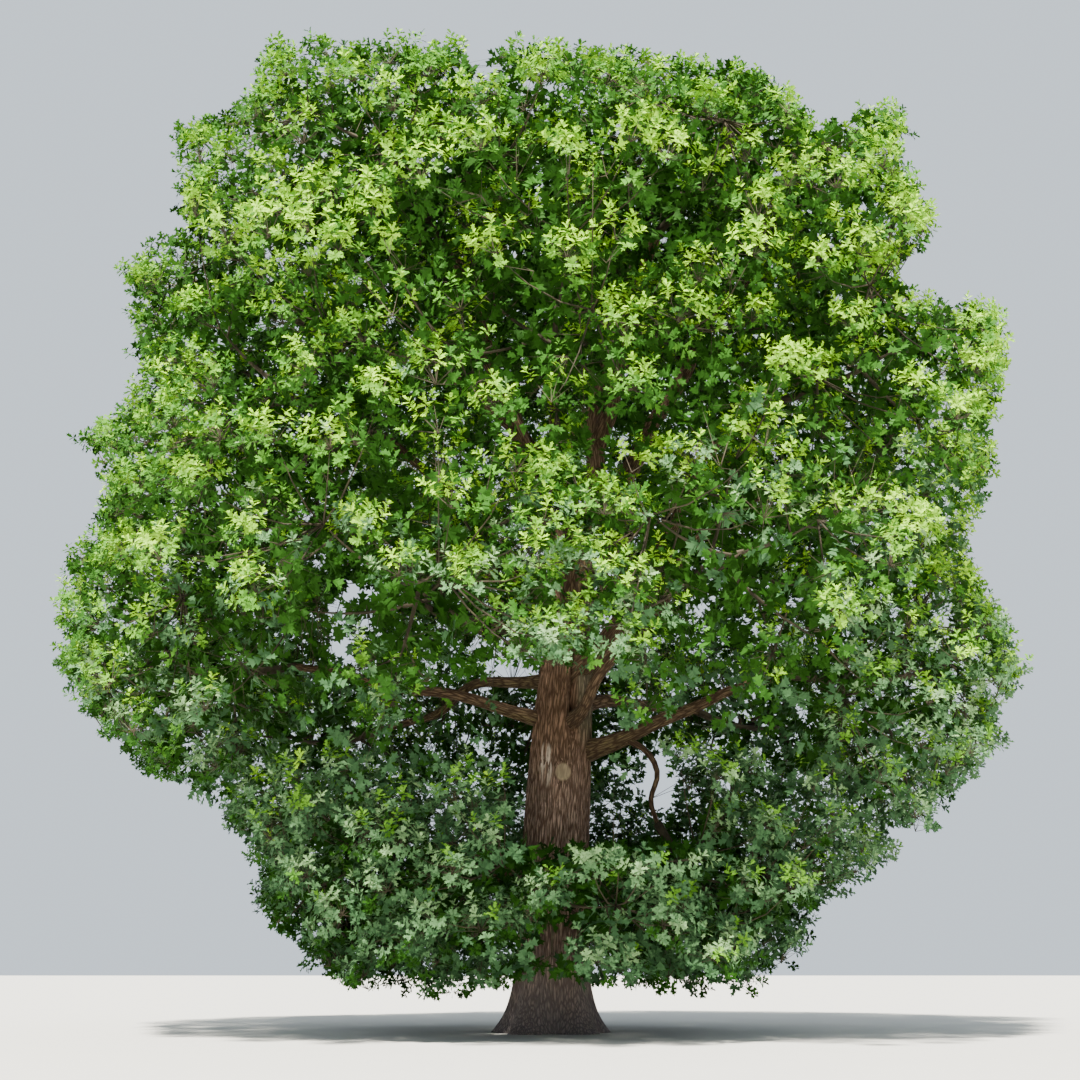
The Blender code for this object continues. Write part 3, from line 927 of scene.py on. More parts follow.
@dataclass(frozen=True)
class BranchingRule:
    """The rule that the solids of the foliage grow by, with the same draws in that order."""

    joint_gap: float = 0.0003
    stem_share: float = 0.30
    twigs: int = 7
    twig_shares: Span = (0.56, 0.70)
    twig_places: Span = (0.30, 0.96)
    twig_cuts: Row = (1.0, 0.85, 0.70, 0.55)
    twig_scatter: float = 0.6
    twig_turns: float = math.radians(12)
    twig_radius: float = 0.054
    twig_clearance: float = 0.06
    direction_spread: float = 1.56
    leaf_places: Row = (0.66, 0.84, 1.0)
    leaf_splays: Row = tuple(math.radians(a) for a in (76, 64, 14))
    leaf_length: float = 2.60
    leaf_width_share: float = 0.62
    leaf_sunk: float = 0.018
    leaf_tries: int = 16
    shorter_leaf: float = 0.80
    leaf_variety: Span = (0.9, 1.08)
    leaf_rise: float = 0.6
    leaf_roll: float = 0.3
    leaf_tests: tuple[Span, ...] = ((0.3, 0.5), (0.3, -0.5), (0.7, 0.5), (0.7, -0.5))
    limb_clearance: float = 0.26
    outer_first: float = 0.25
    nearness: float = 0.5
    dot: float = 0.01
    rod_faces: Row = tuple(math.radians(a) for a in (30, 150, 270))

    def even_direction(self, index: int, mass: Mass, turn: float) -> Vector:
        """Spread directions evenly over a mass, but for the side its bough comes from.

        Args:
            index: Which of them.
            mass: The mass.
            turn: How far all are turned round its facing.

        Returns:
            The direction.
        """
        along = 1.0 - self.direction_spread * (index + 0.5) / self.twigs
        across = math.sqrt(max(0.0, 1 - along * along))
        spin = index * GOLDEN_ANGLE + turn
        square = mass.facing.cross(mass.sideways)
        level = mass.sideways * math.cos(spin) + square * math.sin(spin)
        return mass.facing * along + level * across

    def inside(self, mass: Mass, points: list[Vector]) -> bool:
        """Tell whether all the points lie in the mass's space."""
        return bool(mass.holds(np.array(points), 1.0, mass.margin).all())

    def near(self, mass: Mass, limb: Limb) -> bool:
        """Tell whether the limb may pass through or near the mass's space.

        Args:
            mass: The mass.
            limb: The limb.

        Returns:
            True if it may.
        """
        dot = (mass.heart, mass.heart + UP * self.dot)
        gap = min(segment_gap(*pair, *dot)[0] for pair in limb.pairs())
        return gap < max(mass.tier.semi) + self.nearness

    def fits(self, mass: Mass, limbs: list[Limb], leaf: Leaf) -> bool:
        """Tell whether the leaf stays in the mass's space and touches no limb.

        Args:
            mass: The mass.
            limbs: The limbs that come near it.
            leaf: The leaf.

        Returns:
            True if it does.
        """
        side = leaf.along.cross(leaf.normal).normalized()
        half = leaf.length * self.leaf_width_share / 2
        middle = leaf.root + leaf.along * leaf.length / 2
        rim = [leaf.root + leaf.along * leaf.length, middle + side * half, middle - side * half]
        if not self.inside(mass, rim):
            return False
        inner = []
        for t, w in self.leaf_tests:
            inner.append(leaf.root + leaf.along * leaf.length * t + side * half * w)
        rods = ((leaf.root, rim[0]), (rim[1], rim[2]), (inner[0], inner[2]), (inner[1], inner[3]))
        pairs = [(limb, *rod) for limb in limbs for rod in rods]
        return not any(limb.touched_by(a, b, self.limb_clearance) for limb, a, b in pairs)

    def grow(self, crown: Crown, mass: Mass) -> Growth:
        """Grow the twigs and leaves of one mass.

        Args:
            crown: The plan of the tree.
            mass: The mass.

        Returns:
            Its stem, twigs and leaves.
        """
        rng = random.Random(f"{SEED}{mass.name}")
        bough = crown.limbs[bough_name(mass.name)]
        limbs = [limb for limb in crown.limbs.values() if self.near(mass, limb)]
        root = bough.points[-1] + bough.end() * self.joint_gap
        growth = Growth(mass, (root, mass.toward(mass.facing, self.stem_share)))
        turn = rng.uniform(0, TURN)
        first, last = self.twig_places
        for i in range(self.twigs):
            end = mass.toward(self.even_direction(i, mass, turn), rng.uniform(*self.twig_shares))
            place = last + (first - last) * (i + rng.uniform(0.0, self.twig_scatter)) / self.twigs
            start = root.lerp(growth.stem[1], place)
            twig, on_twig = None, []
            for share in self.twig_cuts:
                tip = start.lerp(end, share)
                free = len(on_twig) < len(self.leaf_places) and self.inside(mass, [tip])
                clearance = self.twig_radius + self.twig_clearance
                if free and not any(limb.touched_by(start, tip, clearance) for limb in limbs):
                    found = self.leaves_on((start, tip), mass, limbs, growth.leaves, rng)
                    if len(found) > len(on_twig):
                        twig, on_twig = (start, tip), found
            if twig:
                growth.twigs.append(twig)
                growth.leaves += on_twig
        return growth

    def leaves_on(self, twig: Line, mass: Mass, limbs: list[Limb],
                  others: list[Leaf], rng: random.Random) -> list[Leaf]:
        """Place the leaves of one twig, each where the foliage is thinnest.

        Args:
            twig: The twig's start and end.
            mass: The mass.
            limbs: The limbs that come near it.
            others: The leaves before these.
            rng: The mass's random numbers.

        Returns:
            The leaves.
        """
        start, end = twig
        square = (end - start).to_track_quat("Z", "Y").to_matrix()
        out = square @ UP
        made: list[Leaf] = []
        for place, splay in zip(self.leaf_places, self.leaf_splays):
            best, best_room = None, 0.0
            for attempt in range(self.leaf_tries):
                turn = rng.choice(self.rod_faces) + rng.uniform(-self.twig_turns, self.twig_turns)
                side = square @ Vector((math.cos(turn), math.sin(turn), 0.0))
                along = out * math.cos(splay) + side * math.sin(splay)
                face = (end - mass.heart).normalized() + UP * rng.uniform(0.0, self.leaf_rise)
                face += side * rng.uniform(-self.leaf_roll, self.leaf_roll)
                normal = face - along * face.dot(along)
                shorter = 1.0 if attempt < self.leaf_tries / 2 else self.shorter_leaf
                length = self.leaf_length * shorter * rng.uniform(*self.leaf_variety)
                root = start.lerp(end, place) - along * self.leaf_sunk
                leaf = Leaf(root, along, normal.normalized(), length)
                if not self.fits(mass, limbs, leaf):
                    continue
                middle = leaf.middle()
                gaps = [(middle - other.middle()).length for other in others + made]
                room = min(gaps or [length])
                room += self.outer_first * (middle - mass.heart).length
                if room > best_room:
                    best, best_room = leaf, room
            if best:
                made.append(best)
        return made


# Meshes from arrays


def unit(vectors: Array) -> Array:
    """Return each row at length 1."""
    return vectors / np.maximum(norm(vectors, axis=-1, keepdims=True), TINY)


def square_to(directions: Array) -> Pair:
    """Find unit vectors square to directions and to each other.

    Args:
        directions: The directions, one to a row.

    Returns:
        The first and the second of them, for each.
    """
    level = np.abs(directions[..., 2:3]) < STEEP
    helper = np.where(level, (0.0, 0.0, 1.0), (1.0, 0.0, 0.0))
    first = unit(np.cross(directions, helper))
    return first, np.cross(directions, first)


def round_about(first: Array, second: Array, angles: Array) -> Array:
    """Return the directions at those angles in the plane of two others."""
    return first * np.cos(angles)[..., None] + second * np.sin(angles)[..., None]


def nearest(places: Array, points: Array) -> Array:
    """Return for each point the nearest of the places."""
    return places[norm(places[None] - points[:, None], axis=2).argmin(axis=1)]


def spread_out(spots: Array, taken: Array, spacing: float, most: int) -> Array:
    """Choose spots in their order, each clear of those before it.

    Args:
        spots: The spots to choose from, one to a row.
        taken: Spots that are taken already.
        spacing: The least distance between any two.
        most: How many there may be with those taken.

    Returns:
        The numbers of the chosen spots.
    """
    held = np.full((max(most, len(taken)) + 1, 3), FAR)
    held[: len(taken)] = taken
    chosen: list[int] = []
    for n, spot in enumerate(spots):
        count = len(taken) + len(chosen)
        if count >= most:
            break
        if norm(held - spot, axis=1).min() > spacing:
            held[count] = spot
            chosen.append(n)
    return np.array(chosen, int)


def linked(name: str, data: Any) -> Piece:
    """Link data to the scene.

    Args:
        name: The object's name.
        data: Its mesh, light or camera.

    Returns:
        The object around it.
    """
    made = bpy.data.objects.new(name, data)
    bpy.context.scene.collection.objects.link(made)
    return made


def mesh_object(name: str, points: Array, triangles: Array, smooth: bool) -> Piece:
    """Make a mesh object from arrays.

    Args:
        name: The piece's name.
        points: Its points, one to a row.
        triangles: The three points of each face.
        smooth: Whether it is shaded smooth.

    Returns:
        The object, linked to the scene.
    """
    mesh = bpy.data.meshes.new(name)
    mesh.vertices.add(len(points))
    mesh.vertices.foreach_set("co", points.astype(np.float32).ravel())
    mesh.loops.add(triangles.size)
    mesh.loops.foreach_set("vertex_index", triangles.astype(np.int32).ravel())
    mesh.polygons.add(len(triangles))
    mesh.polygons.foreach_set("loop_start", np.arange(0, triangles.size, 3, dtype=np.int32))
    mesh.update(calc_edges=True)
    if smooth:
        mesh.shade_smooth()
    return linked(name, mesh)


def gathered(meshes: list[Mesh]) -> Mesh:
    """Gather meshes into one.

    Args:
        meshes: The points and triangles of each.

    Returns:
        The points and triangles of all.
    """
    firsts = np.cumsum([0] + [len(points) for points, _ in meshes])
    faces = [triangles + first for (_, triangles), first in zip(meshes, firsts)]
    return np.concatenate([points for points, _ in meshes]), np.concatenate(faces)


def bark_piece(name: str, parts: list[Bark]) -> Piece:
    """Make a piece of bark.

    Args:
        name: The piece's name.
        parts: The points, triangles and grain of each part of it.

    Returns:
        The piece, with the grain kept under that name.
    """
    piece = mesh_object(name, *gathered([part[:2] for part in parts]), True)
    kept = piece.data.attributes.new("grain", "FLOAT_VECTOR", "POINT")
    grain = np.concatenate([part[2] for part in parts])
    kept.data.foreach_set("vector", grain.astype(np.float32).ravel())
    return piece


def tube_faces(rings: int, sides: int) -> Array:
    """Join the rings of a tube, which stays open at its ends.

    Args:
        rings: How many rings it has.
        sides: The points of each.

    Returns:
        The triangles.
    """
    ring, side = np.meshgrid(np.arange(rings - 1), np.arange(sides), indexing="ij")
    low = ring * sides + side
    next_low = ring * sides + (side + 1) % sides
    first = np.stack([low, next_low, next_low + sides], axis=-1)
    second = np.stack([low, next_low + sides, low + sides], axis=-1)
    return np.concatenate([first.reshape(-1, 3), second.reshape(-1, 3)])


def smooth_path(points: Array, values: Array, step: float) -> Pair:
    """Run a smooth curve through points.

    Args:
        points: The points, one to a row.
        values: A value at each point.
        step: The distance between the curve's points.

    Returns:
        The curve's points and the values there.
    """
    ends = np.concatenate([points[:1] * 2 - points[1:2], points, points[-1:] * 2 - points[-2:-1]])
    made, held = [], []
    for i in range(1, len(ends) - 2):
        a, b, c, d = ends[i - 1 : i + 3]
        cuts = max(1, round(float(norm(c - b)) / step))
        t = np.arange(cuts)[:, None] / cuts
        curve = 2 * b + (c - a) * t + (2 * a - 5 * b + 4 * c - d) * t**2
        made.append(0.5 * (curve + (3 * b - a - 3 * c + d) * t**3))
        held.append(values[i - 1] + (values[i] - values[i - 1]) * t[:, 0])
    return np.concatenate([*made, points[-1:]]), np.concatenate([*held, values[-1:]])


def path_frames(path: Array) -> Pair:
    """Carry a square frame along a path without a twist.

    Args:
        path: The path's points, one to a row.

    Returns:
        Two unit vectors square to the path at each point.
    """
    ways = unit(np.gradient(path, axis=0))
    first = square_to(ways[:1])[0][0]
    firsts = []
    for way in ways:
        first = first - way * first.dot(way)
        first = first / norm(first)
        firsts.append(first)
    firsts = np.array(firsts)
    return firsts, np.cross(ways, firsts)


def tubes(lines: Array, radii: Array, sides: int) -> Mesh:
    """Make many thin tubes of the same number of rings, each ending in a point.

    Args:
        lines: For each tube its points: tubes by rings by 3.
        radii: The radius at each: tubes by rings, the last of which is the tip.
        sides: The sides of each tube.

    Returns:
        The points and the triangles.
    """
    count, rings, _ = lines.shape
    first, second = square_to(unit(lines[:, -1] - lines[:, 0]))
    angles = np.arange(sides) * TURN / sides
    spokes = round_about(first[:, None], second[:, None], angles)
    bodies = lines[:, :-1, None] + spokes[:, None] * radii[:, :-1, None, None]
    points = np.concatenate([bodies.reshape(count, -1, 3), lines[:, -1:]], axis=1)
    body = (rings - 1) * sides
    last = (rings - 2) * sides
    cap = np.array([[last + i, last + (i + 1) % sides, body] for i in range(sides)])
    faces = np.concatenate([tube_faces(rings - 1, sides), cap]) if rings > 2 else cap
    steps = (np.arange(count) * (body + 1))[:, None, None]
    return points.reshape(-1, 3), (faces[None] + steps).reshape(-1, 3)


# Bark


@dataclass
class TrunkBark:
    """The trunk's skin in relief: interlaced ridges, root lobes, a deeper cleft and its scar."""

    trunk: Trunk
    finish: TrunkFinish
    sides: int = 176
    rings: int = 128
    crowding: float = 1.15
    ridges: int = 19
    depth: float = 0.052
    foot_depth: float = 0.012
    foot_heights: Span = (0.4, 3.0)
    plate_middle: float = 0.6
    root_lobes: Span = (11, 7)
    root_lobe_depth: float = 0.035
    root_lobe_height: float = 0.55
    cleft_extra: float = 0.26
    cleft_width: float = math.radians(8)
    cleft_start: float = 0.4
    cleft_run: float = 1.6
    scar_floor: float = 0.010
    scar_edge: Span = (0.75, 0.35)
    scar_rim: Span = (0.045, 0.22)
    grain_squeeze: float = 0.10

    def relief(self, azimuth: Array, z: Array) -> Array:
        """Measure the bark's relief.

        Args:
            azimuth: The azimuth of each point.
            z: The height of each point.

        Returns:
            How far each stands out of the plain trunk, in metres.
        """
        turn = self.ridges * azimuth
        first = 1.2 * np.sin(1.7 * z + 2 * azimuth) + 0.8 * np.sin(4.1 * z - 3 * azimuth + 2.0)
        second = 1.1 * np.sin(1.3 * z - 2 * azimuth + 4.0)
        second = second + 0.9 * np.sin(3.3 * z + 4 * azimuth + 1.0)
        plates = np.abs(np.sin(turn + first + 0.8 * z))
        plates = np.minimum(plates, np.abs(np.sin(turn + second - 0.8 * z)))
        broken = 0.5 + 0.5 * np.sin(7.0 * z + 5 * azimuth + 1.5 * np.sin(2.1 * z + 9 * azimuth))
        low, run = self.foot_heights
        depth = self.foot_depth + (self.depth - self.foot_depth) * ease((z - low) / run)
        bark = depth * (plates**0.6 - self.plate_middle) * (0.75 + 0.25 * broken)
        many, few = self.root_lobes
        lobes = np.cos(many * azimuth + 0.7) + 0.6 * np.cos(few * azimuth + 2.0)
        return bark + self.root_lobe_depth * np.exp(-z / self.root_lobe_height) * lobes

    def scar_relief(self, azimuth: Array, z: Array, bark: Array) -> Array:
        """Sink the round scar in a raised rim, in place of the bark there.

        Args:
            azimuth: The azimuth of each point.
            z: The height of each point.
            bark: The bark's relief there.

        Returns:
            The relief with the scar in it.
        """
        scar = self.finish.scar
        x, y, height = scar.at
        middle = math.atan2(y, x - self.trunk.axis(height).x) % TURN
        across = (azimuth - middle) * self.trunk.bole_radius
        up = (z - height) * scar.width / scar.height
        far = np.hypot(across, up) / scar.width
        inside = 1 - ease((far - self.scar_edge[0]) / self.scar_edge[1])
        rim = self.scar_rim[0] * np.exp(-(((far - 1.0) / self.scar_rim[1]) ** 2))
        return bark * (1 - inside) + self.scar_floor * inside + rim

    def build(self) -> Piece:
        """Return the trunk's piece."""
        heights = self.trunk.top * (np.arange(self.rings + 1) / self.rings) ** self.crowding
        angles = np.arange(self.sides) * TURN / self.sides
        z, azimuth = np.meshgrid(heights, angles, indexing="ij")
        radius = self.trunk.radius(z, azimuth)
        off = (azimuth - self.trunk.groove_azimuth + math.pi) % TURN - math.pi
        deep = ease((z - self.trunk.groove_start + self.cleft_start) / self.cleft_run)
        radius -= self.cleft_extra * deep * np.exp(-((off / self.cleft_width) ** 2))
        radius += self.scar_relief(azimuth, z, self.relief(azimuth, z))
        middle = np.array([self.trunk.axis(float(h)) for h in heights])
        spokes = np.stack([np.cos(azimuth), np.sin(azimuth), np.zeros_like(z)], axis=-1)
        points = middle[:, None] + spokes * radius[..., None]
        grain = spokes * radius[..., None]
        grain[..., 2] = z * self.grain_squeeze
        count = z.size
        faces = [tube_faces(self.rings + 1, self.sides), self.fan(0, count)[:, [1, 0, 2]]]
        faces.append(self.fan(self.rings * self.sides, count + 1))
        ends = np.zeros((2, 3))
        ends[:, 2] = heights[[0, -1]] * self.grain_squeeze
        points = np.concatenate([points.reshape(-1, 3), middle[[0, -1]]])
        grain = np.concatenate([grain.reshape(-1, 3), ends])
        return bark_piece("trunk_bark", [(points, np.concatenate(faces), grain)])

    def fan(self, first: int, centre: int) -> Array:
        """Close an end of the trunk.

        Args:
            first: The first point of the end's ring.
            centre: The point in its middle.

        Returns:
            The triangles.
        """
        around = np.arange(self.sides)
        onward = first + (around + 1) % self.sides
        return np.stack([first + around, onward, np.full(self.sides, centre)], axis=1)


@dataclass
class BoughBark:
    """The boughs' skin: swollen where they leave, with knots, ridges and a slight wander."""

    crown: Crown
    sides: int = 16
    step: float = 0.22
    hanging_thinness: float = 0.45
    thinness: tuple[tuple[str, float], ...] = (("lower", 0.74), ("middle", 0.80))
    wobble_turns: Span = (1.9, 1.4)
    collar: float = 0.28
    collar_reach: float = 0.5
    ridge_depth: float = 0.07
    ridges: int = 5
    knot_depth: float = 0.12
    wobble: float = 0.13
    grain_squeeze: float = 0.14
    grain_apart: float = 9.0

    def cover(self, limb: Limb, rng: Draws) -> Bark:
        """Cover one bough.

        Args:
            limb: The bough.
            rng: Random numbers.

        Returns:
            The points and triangles of its skin, and their place along and round the bough.
        """
        path, radii = limb.smooth(self.step)
        steps = norm(np.diff(path, axis=0), axis=1)
        far = np.concatenate([[0.0], np.cumsum(steps)])
        share = far / far[-1]
        first, second = path_frames(path)
        phase = rng.uniform(0, TURN, 6)
        swing = self.wobble * np.sin(math.pi * share) ** 2
        for way, turns, shift in zip((first, second), self.wobble_turns, phase):
            path = path + way * (swing * np.sin(far * turns + shift))[:, None]
        start = far - self.crown.trunk.bole_radius
        radii = radii * dict(self.thinness).get(limb.name.split("_")[1], 1.0)
        if limb.name == bough_name(self.crown.hanging_bough):
            radii = radii * self.hanging_thinness
        else:
            radii = radii * (1 + self.collar * np.exp(-np.maximum(start, 0.0) / self.collar_reach))
        angles = np.arange(self.sides) * TURN / self.sides
        turn, along = np.meshgrid(angles, far, indexing="xy")
        twist = 1.6 * np.sin(1.1 * along + phase[2])
        ridge = np.abs(np.sin(self.ridges * turn + twist + 0.9 * along))
        knots = np.sin(2.3 * along + phase[3]) * np.sin(turn + 1.7 * along + phase[4])
        knots = np.maximum(0.0, knots) ** 3
        thick = radii[:, None] * (1 + self.ridge_depth * (ridge - 0.5) + self.knot_depth * knots)
        spokes = round_about(first[:, None], second[:, None], turn)
        points = path[:, None] + spokes * thick[..., None]
        grain = [np.cos(turn) * thick, np.sin(turn) * thick, along * self.grain_squeeze]
        grain = np.stack(grain, axis=-1)
        grain += rng.uniform(0, self.grain_apart, 3)
        return points.reshape(-1, 3), tube_faces(len(path), self.sides), grain.reshape(-1, 3)

    def build(self, tier: Tier) -> Piece:
        """Make one tier's boughs as a piece.

        Args:
            tier: The tier.

        Returns:
            The piece.
        """
        parts = []
        for n, label in enumerate(tier.labels()):
            rng = np.random.default_rng((SEED, n, len(tier.name)))
            parts.append(self.cover(self.crown.limbs[bough_name(label)], rng))
        return bark_piece(f"bark_{tier.name}_boughs", parts)


# Foliage


@dataclass(frozen=True)
class LeafShape:
    """An oak leaf of three triangles that widen forwards: two pairs of lobes, and the tip.

    Its points run along, across and up from the leaf's root, for a leaf of length 1 and breadth 1.
    """

    length: float
    breadth: float = 1.0
    outline: tuple[tuple[float, float, float], ...] = (
        (0.0, 0.0, 0.0), (0.46, -0.25, 0.06), (0.46, 0.25, 0.06),
        (0.24, 0.0, 0.0), (0.80, -0.27, 0.01), (0.80, 0.27, 0.01),
        (0.60, -0.14, -0.01), (1.05, 0.0, -0.11), (0.60, 0.14, -0.01),
    )

    def points(self) -> Array:
        """Return its points, three to a triangle."""
        return np.array(self.outline) * (1.0, self.breadth, 1.0)

    def faces(self) -> Array:
        """Return the three triangles, all facing up."""
        return np.arange(len(self.outline)).reshape(-1, 3)


SUN_LEAF = LeafShape(0.215)
SHADE_LEAF = LeafShape(0.41, 1.38)


@dataclass
class Tufts:
    """The tufts of one mass and the single sprays in its shade, with their twigs' roots."""

    middles: Array
    facings: Array
    roots: Array
    shade: Array
    shade_roots: Array


@dataclass
class Sprays:
    """Sprays of leaves at twiglet tips, and the painted light and painted sky reflection of each.
    """

    tips: Array
    axes: Array
    roots: Array
    light: Array
    cool: Array
    size: Array

    def kept(self, keep: Array) -> "Sprays":
        """Return those that are kept."""
        return Sprays(*(part[keep] for part in vars(self).values()))


EYE = (-0.32, -46.0, 1.63)


def bumps(points: Array) -> Array:
    """Lay a slow, irregular wave over the crown.

    Args:
        points: Points of the crown, one to a row.

    Returns:
        The wave at each, from 0 to 1.
    """
    x, y, z = points.T
    wave = np.sin(1.7 * x + 0.9 * z + 1.0) + np.sin(1.3 * z - 1.1 * y + 4.0)
    return 0.5 + (wave + np.sin(2.3 * y + 0.8 * x - 1.9 * z)) / 6.0


def seen_at(points: Array) -> Pair:
    """Return where the eye sees points, as x and z in the upright plane through the trunk."""
    scale = (points[:, 1] - EYE[1]) / -EYE[1]
    return EYE[0] + (points[:, 0] - EYE[0]) / scale, EYE[2] + (points[:, 2] - EYE[2]) / scale


@dataclass(frozen=True)
class Clearing:
    """A gap in the foliage, placed and sized as the eye sees it in the plane of the trunk."""

    x: float
    z: float
    half_width: float
    half_height: float
    slant: float = 0.0
    front: float = -30.0
    back: float = 0.0
    ragged: Triple = (1.2, 0.9, 2.6)

    def holds(self, points: Array) -> Array:
        """Tell which points lie in the gap.

        Args:
            points: The points.

        Returns:
            A truth value for each.
        """
        x, z = seen_at(points)
        up = z - self.z
        across = x - self.x - self.slant * up
        near = (points[:, 1] > self.front) & (points[:, 1] < self.back)
        most, less, size = self.ragged
        edge = most - less * bumps(points * size)
        return near & ((across / self.half_width) ** 2 + (up / self.half_height) ** 2 < edge)


@dataclass(frozen=True)
class Outline:
    """The crown's outline as the eye sees it: heights, and the left and right edge at each."""

    rows: tuple[Triple, ...] = (
        (0.8, -5.6, 5.2), (1.9, -7.1, 7.1), (3.2, -8.3, 7.6), (4.5, -8.4, 9.5),
        (5.1, -8.7, 10.4), (6.2, -10.6, 11.3), (6.9, -11.4, 12.0), (7.6, -12.3, 12.9),
        (8.4, -13.2, 12.9), (10.1, -14.3, 13.7), (11.7, -14.4, 12.9), (13.1, -14.3, 12.1),
        (14.5, -13.2, 12.7), (16.0, -13.5, 13.2), (16.7, -14.1, 13.1), (18.2, -12.5, 13.6),
        (19.7, -12.8, 13.9), (21.1, -12.8, 13.6), (21.5, -12.8, 10.6), (22.1, -13.4, 10.6),
        (22.7, -12.6, 11.8), (24.4, -11.5, 11.8), (25.2, -11.7, 11.2), (26.8, -11.9, 11.4),
        (27.6, -10.0, 11.2), (28.3, -9.4, 7.2), (29.3, -9.2, 5.9), (30.2, -8.9, -3.0),
    )

    def holds(self, points: Array, margin: float | Array) -> Array:
        """Tell which points lie inside it with room on every side.

        Args:
            points: The points.
            margin: The room, one for all or one for each.

        Returns:
            A truth value for each.
        """
        heights, lefts, rights = np.array(self.rows).T
        x, z = seen_at(points)
        inside = np.ones(len(points), bool)
        for across, up in ((1, 0), (-1, 0), (0, 1), (0, -1)):
            at_x, at_z = x + across * margin, z + up * margin
            inside &= (at_z > heights[0]) & (at_z < heights[-1])
            inside &= at_x > np.interp(at_z, heights, lefts)
            inside &= at_x < np.interp(at_z, heights, rights)
        return inside


CLEARINGS = (
    Clearing(2.70, 8.15, 0.85, 0.75, 2.8, back=-1.2),
    Clearing(2.75, 6.30, 0.50, 1.45, -0.36),
    Clearing(3.00, 6.60, 0.62, 0.85, back=30.0),
    Clearing(-1.10, 9.70, 0.70, 0.32, back=30.0),
    Clearing(-2.60, 9.15, 1.25, 0.48, back=0.6),
    Clearing(1.70, 11.00, 0.32, 0.55, back=30.0),
    Clearing(-0.55, 17.2, 0.35, 0.9),
    Clearing(1.35, 16.6, 0.30, 1.2),
    Clearing(0.50, 12.4, 0.30, 0.45),
    Clearing(0.10, 2.35, 0.45, 0.55),
    Clearing(0.20, 0.75, 1.55, 0.75),
    Clearing(8.50, 28.1, 1.00, 1.55, -0.30, back=30.0),
    Clearing(11.9, 21.8, 1.30, 0.55, back=30.0),
    Clearing(-2.20, 29.6, 0.50, 0.90, back=30.0),
    Clearing(-11.9, 23.6, 1.00, 0.42, back=30.0),
    Clearing(-5.5, 12.0, 0.85, 0.36, back=30.0),
    Clearing(-5.9, 10.4, 0.40, 0.45, back=30.0),
)


@dataclass(frozen=True)
class Swelling:
    """A place where the crown swells out beyond its masses, its reach each way and its share."""

    middle: Triple
    reach: Triple
    share: float

    def at(self, points: Array) -> Array:
        """Return the share it adds at each point."""
        off = (points - np.array(self.middle)) / np.array(self.reach)
        return self.share * np.exp(-(off**2).sum(axis=1))


SWELLINGS = (
    Swelling((0.0, 0.0, 14.0), (99.0, 5.0, 99.0), 0.22),
    Swelling((-5.0, -9.5, 13.3), (3.8, 3.0, 1.7), 0.40),
    Swelling((3.2, -10.0, 11.8), (2.6, 2.6, 1.5), 0.25),
    Swelling((6.5, -8.5, 13.2), (2.4, 2.6, 1.5), 0.25),
    Swelling((9.4, -0.5, 5.5), (2.2, 3.0, 1.8), 0.75),
    Swelling((-9.8, -0.5, 6.2), (2.0, 3.0, 1.4), 0.80),
    Swelling((-11.6, -1.0, 21.4), (2.0, 3.0, 2.0), 0.40),
    Swelling((-0.5, -11.0, 14.3), (3.5, 2.5, 1.6), 0.30),
    Swelling((-4.8, -7.5, 25.3), (2.6, 3.0, 1.6), 0.35),
)


